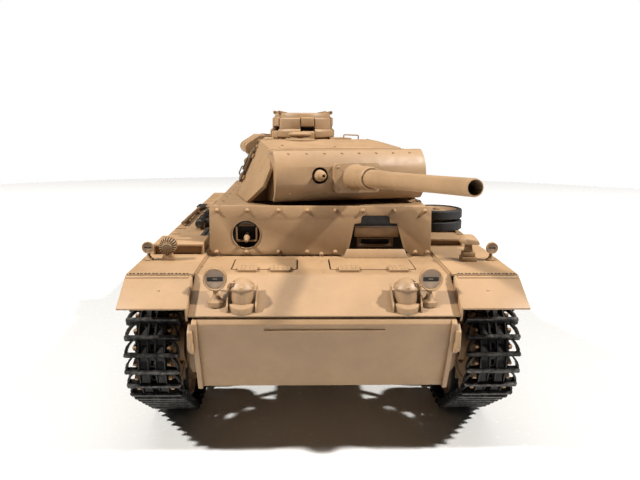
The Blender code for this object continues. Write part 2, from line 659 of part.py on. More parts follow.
def turret_shell():
    """Leaning side plates that reach forward past the recessed front, roof, tail and ring."""
    def corners(pairs, inset=0.0):
        return mirrored([(side_x(y, z, inset), y, z) for y, z in pairs])
    outer = [(-42, TURRET_Z), (-64, 113.5), (-62, 122.8), (-40, 132.2), (SIDE_BEND_Y, TURRET_Z),
             (SIDE_BEND_Y, TURRET_TOP - 0.8), (3, TURRET_TOP), (59, TURRET_Z),
             (57, TURRET_TOP - 1)]
    inner = [(-39.5, 104.2), (-39.5, 129.6), (SIDE_BEND_Y, 104.2), (SIDE_BEND_Y, ROOF_REAR - 2),
             (56.5, 104.2), (54.5, ROOF_REAR - 2)]
    step = [(3, TURRET_TOP), (16.0, ROOF_REAR), (75, ROOF_REAR), (75, 150), (3, 150)]
    shell = cut(hull(corners(outer)), prism(step, -60, 60))
    shell = cut(shell, hull(corners([(y, z) for y in (-80, -42) for z in (95, 140)], 2.0)))
    shell = cut(shell, hull(corners(inner, 2.4)))
    shell = union(shell, rod(along_z(0, 0, 0), 45.5, 97, TURRET_Z + 1, 40))
    shell = cut(shell, rod(along_z(0, 0, 0), 41.5, 90, TURRET_Z + 3, 32))
    return cut(shell, rod(along_x(0, *TRUNNION), DRUM_R + 0.8, -36.6, 36.6, 24))


def gun_shield():
    """Curved shield, trunnion drum, raised sleeve plate, recoil collar and coaxial port."""
    forward, lift = SHIELD_MID
    curve = [(-(forward + a), lift + b) for a, b in arc((0, 0), SHIELD_R, -58, 58, 10)]
    back = [(-(forward + a), lift + b) for a, b in arc((0, 0), SHIELD_R - 1.8, 58, -58, 10)]
    shield = prism(curve + back, -SHIELD_HALF, SHIELD_HALF)
    shield = union(shield, prism(circle((0, 0), DRUM_R, 20), -36, 36))
    shield = union(shield, box((-15, 15), (-26.8, -5), (-5.0, 7.4)))
    raised = prism(rounded((-11.8, 14.2), (-8.2, 7.6), 3), -29.6, -26.9, "Y")
    collar = turned([(0, 20), (6.7, 20), (6.5, 33), (6.0, 50), (6.0, 56), (0, 56)], 20, along_y(0, 0, 0))
    shield = union(shield, raised, collar)
    port = turned([(0, 20), (2.7, 20), (2.7, 30.5), (1.4, 32.6), (0, 32.6)], 10, along_y(-18.8, 0, 1.2))
    shield = union(shield, port)
    return cut(shield, rod(along_y(0, 0, 0), 5.05, -20, 60, 20))


def gun_barrel():
    """Tapered tube that slides back in the collar, open at the muzzle."""
    profile = [(0, -2), (4.65, -2), (4.65, 62), (4.0, 80), (MUZZLE_R, 128), (MUZZLE_R, MUZZLE),
               (2.75, MUZZLE),
               (2.75, MUZZLE - 24), (0, MUZZLE - 24)]
    return turned(profile, 18, along_y(0, 0, 0))


def cupola():
    """Commander's cupola, open at the top under its two hatch leaves."""
    low = ROOF_REAR + GAP
    profile = [(0, low), (21.2, low), (CUPOLA_R, low + 2.2), (CUPOLA_R, low + 12), (20.6, CUPOLA_TOP),
               (15.6, CUPOLA_TOP), (15.6, low + 1.6), (0, low + 1.6)]
    return turned(profile, 30, along_z(0, CUPOLA_Y, 0))


def cupola_leaf(sign):
    """Half-round hatch leaf with its hinge at the outer edge."""
    z = CUPOLA_TOP + GAP
    half = arc((0, CUPOLA_Y), 17.2, -90, 90, 12)
    leaf = prism([(sign * max(x, 0.25), y) for x, y in half], z, z + 1.5, "Z")
    hinge = rod(lambda a, b, h: (sign * 18.2 + a, CUPOLA_Y + h, z + 1.1 + b), 1.1, -5, 5, 8)
    tongue = box(sorted((sign * 15, sign * 18.2)), (CUPOLA_Y - 4, CUPOLA_Y + 4), (z, z + 1.4))
    return union(leaf, tongue, hinge)


SIDE_HATCH_Y = (-6.0, 20.0)
SIDE_HATCH_Z = (109.0, 129.0)


def side_hatch(sign):
    """Door on the leaning side plate, hinged along its front edge."""
    def corner(y, z, out):
        return (sign * (side_x(y, z) + out), y, z)
    leaf = hull([corner(y, z, out) for y in SIDE_HATCH_Y for z in SIDE_HATCH_Z for out in (GAP, GAP + 2.6)])
    low, high = (Vector(corner(SIDE_HATCH_Y[0] - 0.4, z, 1.6)) for z in (111.0, 127.0))
    axis = (high - low).normalized()
    across = axis.cross(Vector((0, 1, 0))).normalized()
    pin = turned([(0, 0), (1.1, 0), (1.1, (high - low).length), (0, (high - low).length)], 8,
                 lambda a, b, h: low + axis * h + across * a + Vector((0, b, 0)))
    return union(leaf, pin)


def stowage_bin():
    """Bin behind the turret, with sloping shoulders and round ends."""
    front, back, bottom, top = 61.4, 82.0, 117.0, 136.4
    half = [(26.0, top), (35.0, 130.8)] + arc((32.8, 127.2), 4.2, 40, -80, 6) + [(27.5, bottom)]
    outline = half + [(-x, z) for x, z in reversed(half)]
    inner = [(x * 0.97, z - 0.6 if z > 130 else z) for x, z in outline]
    return union(prism(outline, front, back - 1.5, "Y"), prism(inner, front + 1, back, "Y"))


def build_turret():
    ring = frame_empty("turret_axis", (0, RING_Y - ORIGIN_Y, -GROUND_Z), (0, 0, TURN))
    trunnions = frame_empty("trunnion_axis", (0, *TRUNNION), (-ELEVATION, 0, 0), ring)
    place("turret_shell", turret_shell(), PAINT, parent=ring)
    place("cupola", cupola(), PAINT, parent=ring)
    place("stowage_bin", stowage_bin(), PAINT, parent=ring)
    place("gun_shield", gun_shield(), PAINT, parent=trunnions)
    place("gun_barrel", gun_barrel(), PAINT, parent=trunnions)
    for name, side in SIDES:
        z = CUPOLA_TOP + GAP + 1.1
        place(f"cupola_hatch_{name}", cupola_leaf(side), PAINT, (side * 18.2, CUPOLA_Y, z), ring)
        hinge_y = SIDE_HATCH_Y[0] - 0.4
        pivot = (side * (side_x(hinge_y, 111.0) + 1.6), hinge_y, 111.0)
        place(f"side_hatch_{name}", side_hatch(side), PAINT, pivot, ring)


def main():
    for item in list(bpy.data.objects):
        bpy.data.objects.remove(item)
    build_running_gear()
    build_hull()
    build_electronics()
    build_turret()


main()
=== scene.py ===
"""Surfaces and fine parts of a 1/16 radio-controlled tank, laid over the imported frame.

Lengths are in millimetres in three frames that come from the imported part: HULL (x, station
y from the nose seam, height above the hull's base line), TURRET (around the ring's axis,
gun along -Y) and GUN (around the trunnions, level barrel). put() turns them into metres.
"""

import json
import math

import bmesh
import bpy
from mathutils import Matrix, Vector


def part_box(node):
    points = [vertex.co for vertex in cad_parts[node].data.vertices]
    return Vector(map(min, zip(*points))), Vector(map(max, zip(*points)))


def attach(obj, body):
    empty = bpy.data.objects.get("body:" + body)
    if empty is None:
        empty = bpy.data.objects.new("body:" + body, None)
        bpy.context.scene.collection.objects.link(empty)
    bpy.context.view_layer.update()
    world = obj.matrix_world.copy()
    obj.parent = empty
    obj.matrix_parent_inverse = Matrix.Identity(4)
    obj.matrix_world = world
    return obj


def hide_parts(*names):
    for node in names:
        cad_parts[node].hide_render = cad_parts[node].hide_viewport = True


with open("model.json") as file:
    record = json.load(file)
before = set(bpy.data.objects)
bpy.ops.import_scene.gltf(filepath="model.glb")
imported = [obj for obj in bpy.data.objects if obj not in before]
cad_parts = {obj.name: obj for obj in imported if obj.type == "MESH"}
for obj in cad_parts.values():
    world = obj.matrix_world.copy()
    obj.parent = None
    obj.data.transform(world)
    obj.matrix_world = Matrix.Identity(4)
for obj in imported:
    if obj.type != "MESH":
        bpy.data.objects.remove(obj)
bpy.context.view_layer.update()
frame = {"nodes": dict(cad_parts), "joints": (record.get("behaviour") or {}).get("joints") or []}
NODES = frame["nodes"]
JOINTS = {joint["name"]: joint for joint in frame["joints"]}

# ---------------------------------------------------------------- frames
MM = Matrix.Scale(0.001, 4)
plate_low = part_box("front_armour_plate")[0]
HULL = Matrix.Translation((0, plate_low[1] - 0.0632, plate_low[2] - 0.0778)) @ MM
ring_x, ring_y, _ = JOINTS["turret_turn"]["pos_m"]
TRUNNIONS = Vector(JOINTS["gun_elevate"]["pos_m"])
ACROSS = -Vector(JOINTS["gun_elevate"]["axis"]).normalized()
UP = Vector((0, 0, 1))
BACK = UP.cross(ACROSS)
BORE = Vector(JOINTS["barrel_recoil"]["axis"]).normalized()


def frame_matrix(origin, x, y, z):
    """From millimetres along three axes at an origin to metres in the part's frame."""
    turn = Matrix((x, y, z)).transposed().to_4x4()
    return Matrix.Translation(origin) @ turn @ MM


TURRET = frame_matrix(Vector((ring_x, ring_y, HULL.translation.z)), ACROSS, BACK, UP)
GUN = frame_matrix(TRUNNIONS, ACROSS, BORE, ACROSS.cross(BORE))


def span(node, matrix=HULL):
    """A node's box in hull millimetres: ((x, x), (y, y), (z, z))."""
    low, high = (matrix.inverted() @ Vector(corner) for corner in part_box(node))
    return tuple(zip(low, high))


# ---------------------------------------------------------------- mesh helpers
def loft(outlines):
    """A closed solid through matching outlines: a face on both ends, walls between neighbours."""
    bm = bmesh.new()
    rings = [[bm.verts.new(point) for point in outline] for outline in outlines]
    bm.faces.new(rings[0])
    bm.faces.new(rings[-1])
    for low, high in zip(rings, rings[1:]):
        for i in range(len(low)):
            j = (i + 1) % len(low)
            bm.faces.new((low[i], low[j], high[j], high[i]))
    bmesh.ops.recalc_face_normals(bm, faces=bm.faces)
    return bm


def prism(outline, low, high, axis="X"):
    """Extrude a polygon between two planes; outline holds the other two coordinates."""
    i = "XYZ".index(axis)
    return loft([(*p[:i], level, *p[i:]) for p in outline] for level in (low, high))


def box(x, y, z):
    """A block given by its three ranges."""
    return prism([(x[0], y[0]), (x[1], y[0]), (x[1], y[1]), (x[0], y[1])], z[0], z[1], "Z")


def pair(side, a, b):
    """A range given by its distances from the middle, on one side."""
    return sorted((side * a, side * b))


def outward(start, depth):
    return sorted((start, start + depth))


def about(middle, reach):
    return middle - reach, middle + reach


def arc(centre, radius, start, end, steps):
    """Points on a circle between two angles in degrees."""
    angles = [math.radians(start + (end - start) * i / steps) for i in range(steps + 1)]
    return [(centre[0] + radius * math.cos(t), centre[1] + radius * math.sin(t)) for t in angles]


def circle(centre, radius, steps):
    return arc(centre, radius, 0, 360, steps)[:-1]


def rounded(x, y, radius, steps=4):
    """Outline of a rectangle with round corners."""
    points = []
    for cx, cy, start in ((x[1], y[1], 0), (x[0], y[1], 90), (x[0], y[0], 180), (x[1], y[0], 270)):
        corner = (cx - math.copysign(radius, cx - sum(x) / 2), cy - math.copysign(radius, cy - sum(y) / 2))
        points += arc(corner, radius, start, start + 90, steps)
    return points


def turned(profile, segments, spot):
    """Turn a profile of (radius, height) around its height axis; spot sets it in space."""
    bm = bmesh.new()
    closed = profile[0] == profile[-1]
    rings = []
    for radius, height in profile[:-1] if closed else profile:
        if radius == 0:
            rings.append([bm.verts.new(spot(0, 0, height))])
        else:
            rings.append([bm.verts.new(spot(a, b, height)) for a, b in circle((0, 0), radius, segments)])
    if closed:
        rings.append(rings[0])
    for low, high in zip(rings, rings[1:]):
        for i in range(segments):
            j = (i + 1) % segments
            corners = [low[i % len(low)], low[j % len(low)], high[j % len(high)], high[i % len(high)]]
            if len(set(corners)) > 2:
                bm.faces.new(list(dict.fromkeys(corners)))
    bmesh.ops.recalc_face_normals(bm, faces=bm.faces)
    return bm


def ring(inner, outer, low, high, segments, spot):
    """A short tube."""
    return turned([(inner, low), (outer, low), (outer, high), (inner, high), (inner, low)], segments, spot)


def along_x(x, y, z, side=1):
    """Height runs sideways, away from the middle of that side."""
    return lambda a, b, h: (x + side * h, y + a, z + b)


def along_y(x, y, z):
    """Height runs towards -Y."""
    return lambda a, b, h: (x + a, y - h, z + b)


def along_z(x, y, z):
    return lambda a, b, h: (x + a, y + b, z + h)


def facing(point, normal):
    """Height runs along any normal."""
    normal = Vector(normal).normalized()
    side = normal.orthogonal().normalized()
    up = normal.cross(side)
    return lambda a, b, h: Vector(point) + side * a + up * b + normal * h


def rod(spot, radius, low, high, segments=16):
    """A solid cylinder."""
    return turned([(0, low), (radius, low), (radius, high), (0, high)], segments, spot)


def between(a, b, radius, segments=12):
    """A cylinder from one point to another."""
    a, b = Vector(a), Vector(b)
    return rod(facing(a, b - a), radius, 0, (b - a).length, segments)


def tube(points, radius, segments=8):
    """A round wire or handle through a few points."""
    points = [Vector(p) for p in points]
    outlines = []
    side = (points[1] - points[0]).orthogonal().normalized()
    for i, point in enumerate(points):
        along = (points[min(i + 1, len(points) - 1)] - points[max(i - 1, 0)]).normalized()
        side = (side - along * side.dot(along)).normalized()
        up = along.cross(side)
        outlines.append([point + side * a + up * b for a, b in circle((0, 0), radius, segments)])
    return loft(outlines)


def bend(corners, radius, steps=4):
    """The corner points of a bent wire with their corners rounded."""
    corners = [Vector(c) for c in corners]
    path = [corners[0]]
    for before, corner, after in zip(corners, corners[1:], corners[2:]):
        start = corner + (before - corner).normalized() * radius
        end = corner + (after - corner).normalized() * radius
        for i in range(steps + 1):
            t = i / steps
            path.append(start.lerp(corner, t).lerp(corner.lerp(end, t), t))
    return path + [corners[-1]]


def hull(points):
    """The convex solid around some points."""
    bm = bmesh.new()
    for point in points:
        bm.verts.new(point)
    bmesh.ops.convex_hull(bm, input=bm.verts)
    loose = [v for v in bm.verts if not v.link_faces]
    bmesh.ops.delete(bm, geom=loose, context="VERTS")
    bmesh.ops.dissolve_limit(bm, angle_limit=0.001, verts=bm.verts, edges=bm.edges)
    bmesh.ops.recalc_face_normals(bm, faces=bm.faces)
    return bm


def settle(name, bm):
    """Mesh data made of an edit mesh, which is freed."""
    mesh = bpy.data.meshes.new(name)
    bm.to_mesh(mesh)
    bm.free()
    return mesh


def add_object(name, data):
    item = bpy.data.objects.new(name, data)
    bpy.context.scene.collection.objects.link(item)
    return item


def frustum(low, high, place=Vector):
    """A solid between two level rectangles (x range, y range, z); place() sets its corners in space."""
    return hull([place((x, y, z)) for xs, ys, z in (low, high) for x in xs for y in ys])


def cut_one(base, tool):
    objects = [add_object("work", settle("work", bm)) for bm in (base, tool)]
    modifier = objects[0].modifiers.new("Boolean", "BOOLEAN")
    modifier.operation = "DIFFERENCE"
    modifier.solver = "EXACT"
    modifier.object = objects[1]
    evaluated = objects[0].evaluated_get(bpy.context.evaluated_depsgraph_get())
    result = bmesh.new()
    result.from_mesh(evaluated.to_mesh())
    evaluated.to_mesh_clear()
    for item in objects:
        mesh = item.data
        bpy.data.objects.remove(item)
        bpy.data.meshes.remove(mesh)
    bmesh.ops.dissolve_limit(result, angle_limit=0.002, verts=result.verts, edges=result.edges)
    return result


def cut(base, *tools):
    """Take the tools away from the base."""
    for tool in tools:
        base = cut_one(base, tool)
    return base


def chamfer(bm, width, segments=2, angle=28):
    """Round every edge sharper than the angle."""
    limit = math.radians(angle)
    edges = [e for e in bm.edges if len(e.link_faces) == 2 and e.calc_face_angle(0) > limit]
    bmesh.ops.bevel(bm, geom=edges, offset=width, segments=segments, profile=0.5, affect="EDGES",
        clamp_overlap=True)
    return bm


def gather(*parts):
    """Several meshes in one, with their material indices."""
    whole = bmesh.new()
    for part in parts:
        mesh = settle("work", part)
        whole.from_mesh(mesh)
        bpy.data.meshes.remove(mesh)
    return whole


def tint(bm, index):
    """Give every face one of the piece's materials."""
    for face in bm.faces:
        face.material_index = index
    return bm


def put(name, shape, looks, body, matrix=HULL, hides=(), angle=30):
    """Make a piece in metres that rides on a CAD body, and hide the CAD nodes it stands for.

    shape is one mesh or a list of them; edges sharper than the angle in degrees stay crisp.
    """
    bm = gather(*shape) if isinstance(shape, list) else shape
    bm.transform(matrix)
    mesh = settle(name, bm)
    for look in looks if isinstance(looks, tuple) else (looks,):
        mesh.materials.append(look)
    mesh.shade_smooth()
    mesh.set_sharp_from_angle(angle=math.radians(angle))
    item = add_object(name, mesh)
    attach(item, body)
    if hides:
        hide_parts(*hides)


# ---------------------------------------------------------------- materials
def new_material(name):
    made = bpy.data.materials.new(name)
    made.use_nodes = True
    tree = made.node_tree
    return made, tree, tree.nodes["Principled BSDF"]


def node(tree, kind, links=(), **values):
    """Add a node, set its properties or inputs, and link (input, output socket) pairs."""
    made = tree.nodes.new(kind)
    for key, value in values.items():
        if hasattr(made, key):
            setattr(made, key, value)
        else:
            made.inputs[key.replace("_", " ")].default_value = value
    for socket, source in links:
        tree.links.new(source, made.inputs[socket])
    return made


def noise(tree, place, scale, detail=4.0, rough=0.55):
    """Grain in a material; the scale is per metre."""
    made = node(tree, "ShaderNodeTexNoise", [("Vector", place)], Scale=scale, Detail=detail,
        Roughness=rough)
    return made.outputs["Fac"]


def ramp(tree, source, stops):
    """Colours by value."""
    made = node(tree, "ShaderNodeValToRGB", [("Fac", source)])
    band = made.color_ramp
    while len(band.elements) < len(stops):
        band.elements.new(0.5)
    for element, (position, colour) in zip(band.elements, stops):
        element.position = position
        element.color = (*colour, 1)
    return made.outputs["Color"]


def mixed(tree, kind, amount, first, second):
    """Blend two colours or sockets."""
    made = node(tree, "ShaderNodeMix", data_type="RGBA", blend_type=kind)
    for socket, value in ((0, amount), (6, first), (7, second)):
        if hasattr(value, "is_output"):
            tree.links.new(value, made.inputs[socket])
        elif socket:
            made.inputs[socket].default_value = (*value, 1)
        else:
            made.inputs[socket].default_value = value
    return made.outputs[2]


def finish_shader(tree, shader, place, colour, roughness, bumps):
    """Colour, a roughness that varies between two values, and a chain of fine bumps."""
    tree.links.new(colour, shader.inputs["Base Color"])
    spread = node(tree, "ShaderNodeMapRange", [("Value", noise(tree, place, 240.0, 5.0))],
        To_Min=roughness[0], To_Max=roughness[1], From_Min=0.3, From_Max=0.7)
    tree.links.new(spread.outputs["Result"], shader.inputs["Roughness"])
    before = None
    for scale, strength, depth in bumps:
        links = [("Height", noise(tree, place, scale, 3.0))] + ([("Normal", before)] if before else [])
        before = node(tree, "ShaderNodeBump", links, Strength=strength, Distance=depth).outputs["Normal"]
    tree.links.new(before, shader.inputs["Normal"])


def paint(name, base, rough=(0.42, 0.58), hollow_shade=0.3):
    """Satin sand paint: faint cloudiness, fine grain, painted shade in the hollows from ambient occlusion,
    tiny chips.
    """
    made, tree, shader = new_material(name)
    place = node(tree, "ShaderNodeTexCoord").outputs["Object"]
    light = tuple(min(1, c * 1.1) for c in base)
    dark = tuple(c * 0.88 for c in base)
    colour = ramp(tree, noise(tree, place, 38.0, 6.0, 0.6), [(0.35, dark), (0.65, light)])
    grain = ramp(tree, noise(tree, place, 1900.0, 2.0), [(0.3, (0.92, 0.92, 0.92)), (0.7, (1.0, 1.0, 1.0))])
    colour = mixed(tree, "MULTIPLY", 1.0, colour, grain)
    # Ambient occlusion darkens the hollows and creases: painted shade, as strong as the last argument sets.
    hollow = node(tree, "ShaderNodeAmbientOcclusion", samples=6, Distance=0.0022).outputs["AO"]
    shade = ramp(tree, hollow, [(0.35, (1, 1, 1)), (0.85, (0, 0, 0))])
    hollow_shaded = mixed(tree, "MULTIPLY", 1.0, colour, (0.62, 0.55, 0.47))
    fade = node(tree, "ShaderNodeMath", [(0, shade)], operation="MULTIPLY")
    fade.inputs[1].default_value = hollow_shade
    colour = mixed(tree, "MIX", fade.outputs[0], colour, hollow_shaded)
    chips = ramp(tree, noise(tree, place, 620.0, 7.0, 0.7), [(0.735, (0, 0, 0)), (0.75, (1, 1, 1))])
    colour = mixed(tree, "MIX", chips, colour, tuple(c * 0.45 for c in base))
    finish_shader(tree, shader, place, colour, rough, [(2600.0, 0.10, 0.0001), (70.0, 0.05, 0.0006)])
    shader.inputs["Specular IOR Level"].default_value = 0.42
    return made


def worn_metal(name, base, worn, amount, rough, metallic):
    """Dark cast or blackened metal whose wear shows a paler tone in patches."""
    made, tree, shader = new_material(name)
    place = node(tree, "ShaderNodeTexCoord").outputs["Object"]
    patch = ramp(tree, noise(tree, place, 520.0, 6.0, 0.65), [(amount, (0, 0, 0)), (amount + 0.22,
        (1, 1, 1))])
    dark = ramp(tree, noise(tree, place, 90.0, 4.0), [(0.3, tuple(c * 0.7 for c in base)), (0.7, base)])
    colour = mixed(tree, "MIX", patch, dark, worn)
    finish_shader(tree, shader, place, colour, rough, [(1500.0, 0.25, 0.0001), (5200.0, 0.15, 0.00005)])
    shader.inputs["Metallic"].default_value = metallic
    return made


SAND = (0.284, 0.177, 0.093)
PAINT = paint("sand_paint", SAND)
# The next two are copies of the sand paint, made lighter for a painted highlight and darker for painted
# shade.
HIGHLIGHT_SAND = paint("sand_paint_highlight", (0.36, 0.236, 0.13), hollow_shade=0.1)
SHADY = paint("sand_paint_shaded", (0.145, 0.094, 0.053), (0.5, 0.66), hollow_shade=0.5)
STEEL = worn_metal("track_black", (0.012, 0.0115, 0.0115), (0.042, 0.039, 0.037), 0.52, (0.34, 0.55), 0.55)
BARS = worn_metal("track_bars", (0.026, 0.025, 0.0245), (0.095, 0.088, 0.082), 0.42, (0.32, 0.5), 0.7)
RUBBER = worn_metal("tyre_rubber", (0.006, 0.006, 0.0065), (0.02, 0.0195, 0.0195), 0.55, (0.6, 0.8), 0.0)
IRON = worn_metal("tool_iron", (0.05, 0.048, 0.046), (0.16, 0.15, 0.145), 0.5, (0.35, 0.55), 0.6)
# Near-black fill put in slits, slots, gaps and behind openings: painted shade.
SHADE_BLACK = worn_metal("painted_shade_black", (0.009, 0.008, 0.007), (0.02, 0.018, 0.016), 0.5, (0.7, 0.9), 0.0)
WOOD = worn_metal("tool_wood", (0.21, 0.12, 0.06), (0.33, 0.21, 0.11), 0.45, (0.5, 0.7), 0.0)
FACE = paint("lamp_face", (0.33, 0.24, 0.17), hollow_shade=0.1)
LENS = worn_metal("lamp_slot", (0.005, 0.0045, 0.004), (0.016, 0.014, 0.012), 0.6, (0.4, 0.55), 0.0)
CAN = worn_metal("bare_metal", (0.35, 0.35, 0.36), (0.5, 0.5, 0.5), 0.5, (0.25, 0.4), 0.9)
BOARD = worn_metal("green_board", (0.01, 0.09, 0.03), (0.02, 0.14, 0.05), 0.5, (0.3, 0.5), 0.0)
CELLS = worn_metal("blue_wrap", (0.01, 0.04, 0.22), (0.02, 0.07, 0.3), 0.5, (0.25, 0.4), 0.0)

SIDES = (("left", 1), ("right", -1))


# ---------------------------------------------------------------- running gear
def wheel_spec(node_name, rest=0):
    """Centre (y, z) of a turning node and its radius, or the radius at which the pins run over it."""
    _, y, z = span(node_name)
    return sum(y) / 2, sum(z) / 2, (z[1] - z[0]) / 2 + rest


ROAD_WHEELS = range(1, 7)                   # numbered from the front
ROLLERS = range(1, 4)
PITCH = 7.5                                 # between the track's pins
TEETH = 20
PIN_R = PITCH / (2 * math.sin(math.pi / TEETH))     # of the pins round the sprocket
REST = 1.5                                  # from a wheel's rim to the pin line
FIRST_PIN = math.radians(193)                # where round the sprocket a link starts
BELT = 3.35                                 # from the pin line to the ground face
SAG = 4.0                                   # of the upper run, four times its depth at mid span
WHEEL_X = 78.5                              # middle between a wheel's two rows


def belt_points(side_name):
    """Pin line of one track as closely spaced points, clockwise from the sprocket's lower front."""
    sy, sz, _ = wheel_spec(f"sprocket_{side_name}")
    wheels = [(sy, sz, PIN_R)]
    wheels += [wheel_spec(f"return_roller_{side_name}_{i}", REST) for i in ROLLERS]
    wheels += [wheel_spec(f"idler_{side_name}", REST)]
    wheels += [wheel_spec(f"road_wheel_{side_name}_{i}", REST) for i in (6, 1)]
    normals = []
    for a, b in zip(wheels, wheels[1:] + wheels[:1]):
        along = math.atan2(b[1] - a[1], b[0] - a[0])
        lift = math.asin((a[2] - b[2]) / math.hypot(b[0] - a[0], b[1] - a[1]))
        normals.append(along + math.pi / 2 - lift)
    path = []
    for i, (y, z, radius) in enumerate(wheels):
        start, end = normals[i - 1], normals[i]
        sweep = (start - end) % (2 * math.pi)
        steps = max(2, math.ceil(math.degrees(sweep) / 2))
        for k in range(steps + 1):
            angle = start - sweep * k / steps
            path.append(Vector((y + radius * math.cos(angle), z + radius * math.sin(angle))))
        if i < 4:
            after = wheels[i + 1]
            end = Vector((after[0] + after[2] * math.cos(normals[i]),
                after[1] + after[2] * math.sin(normals[i])))
            begin = path[-1]
            for k in range(1, 12):
                t = k / 12
                path.append(begin.lerp(end, t) - Vector((0, SAG * t * (1 - t))))
    return path


def spaced(path, first_angle, centre):
    """Equal steps of about one pitch along a closed path, starting at an angle round the sprocket."""
    start = min(range(len(path)), key=lambda i: (path[i] - centre - PIN_R * Vector((math.cos(first_angle),
        math.sin(first_angle)))).length)
    loop = path[start:] + path[:start + 1]
    lengths = [(b - a).length for a, b in zip(loop, loop[1:])]
    count = round(sum(lengths) / PITCH)
    step = sum(lengths) / count
    points, target, run = [], 0.0, 0.0
    for a, b, length in zip(loop, loop[1:], lengths):
        while length and target <= run + length and len(points) < count:
            points.append(a.lerp(b, (target - run) / length))
            target += step
        run += length
    return points


def link_mesh():
    """One link: x across the track, y along it from its own pin, z outwards from the pins."""
    parts = []
    bar = [(-1.05, -1.1), (1.15, -1.1), (1.05, 2.5), (0.65, BELT), (-0.55, BELT), (-0.95, 2.5)]
    parts.append(prism(bar, -11.7, 11.7))
    for sign in (-1, 1):
        tip = [(sign * x, y * s, z * t + 1.0 * (1 - t)) for x, s, t in ((11.7, 1, 1), (12.35, 0.8, 0.72))
            for y, z in bar]
        parts.append(hull(tip))
        arm = [(12.2, 0.4), (12.15, 2.2), (11.6, 3.9), (10.6, 5.4), (9.6, 6.6)]
        inner = [(x - 0.95, y - 0.15) for x, y in arm]
        for (a, b), (c, d) in zip(zip(arm, arm[1:]), zip(inner, inner[1:])):
            quad = [a, b, d, c]
            parts.append(prism([(sign * x, y) for x, y in quad], -1.0, 1.7, "Z"))
        parts.append(rod(along_x(0, 7.5, 0, sign), 1.15, 8.7, 10.3, 8))
        parts.append(rod(along_x(0, 0, 0, sign), 1.25, 10.4, 12.4, 8))
        parts.append(box(pair(sign, 0.8, 6.2), (0.9, 6.7), (-0.9, 0.5)))
        for w, top in ((5.95, 2.3), (1.7, 1.9)):
            parts.append(box(sorted((sign * (w - 0.3), sign * (w + 0.3))), (0.9, 6.6), (-0.9, top)))
        parts.append(hull([(sign * x, y, z) for x, y, z in ((2.2, 1.2, 0.3), (5.4, 1.2, 0.3),
            (2.2, 1.0, 1.7), (5.4, 1.0, 1.7), (2.5, 4.6, 0.5), (5.1, 4.6, 0.5))]))
        parts.append(frustum((pair(sign, 0.7, 2.0), (1.4, 6.0), -0.8), (pair(sign, 0.35, 0.8), (2.6, 4.6),
            -5.9)))
    parts.append(box((-0.85, 0.85), (0.9, 2.5), (-0.9, 0.5)))
    parts.append(box((-0.85, 0.85), (5.0, 6.7), (-0.9, 0.5)))
    parts.append(box((-0.85, 0.85), (2.9, 4.3), (-5.9, -4.4)))
    parts.append(rod(along_x(0, 7.5, 0), 1.15, -6.1, 6.1, 8))
    link = gather(*parts)
    for face in link.faces:
        high = min(v.co.z for v in face.verts)
        face.material_index = 1 if high > 2.2 and abs(face.calc_center_median().y) < 1.3 else 0
    return link


def track(name, side):
    """All the links of one track along its path."""
    sy, sz, _ = wheel_spec(f"sprocket_{name}")
    middle = sum(span(f"track_{name}")[0]) / 2
    points = spaced(belt_points(name), FIRST_PIN, Vector((sy, sz)))
    mesh = settle("link", link_mesh())
    whole = bmesh.new()
    for here, after in zip(points, points[1:] + points[:1]):
        along = (after - here).normalized()
        out = Vector((-along.y, along.x))
        rows = Matrix(((side, 0, 0, middle), (0, along.x, out.x, here.x), (0, along.y, out.y, here.y),
            (0, 0, 0, 1)))
        stamp = bmesh.new()
        stamp.from_mesh(mesh)
        stamp.transform(rows)
        if rows.determinant() < 0:
            bmesh.ops.reverse_faces(stamp, faces=stamp.faces)
        done = settle("stamp", stamp)
        whole.from_mesh(done)
        bpy.data.meshes.remove(done)
    bpy.data.meshes.remove(mesh)
    put(f"links_{name}", whole, (STEEL, BARS), "hull", hides=[f"track_{name}"],
        angle=40)


def bolts(spots, radius=0.8, height=0.7, sides=6):
    """Domed bolt heads, one for each placing function."""
    parts = []
    for spot in spots:
        parts.append(turned([(0, -0.3), (radius, -0.3), (radius, height * 0.6), (radius * 0.6, height),
            (0, height)], sides, spot))
    return gather(*parts)


def face_bolts(x, centre, radius, count, side):
    """Places for a circle of bolts on a face that looks sideways."""
    return [facing((x, *point), (side, 0, 0)) for point in circle(centre, radius, count)]


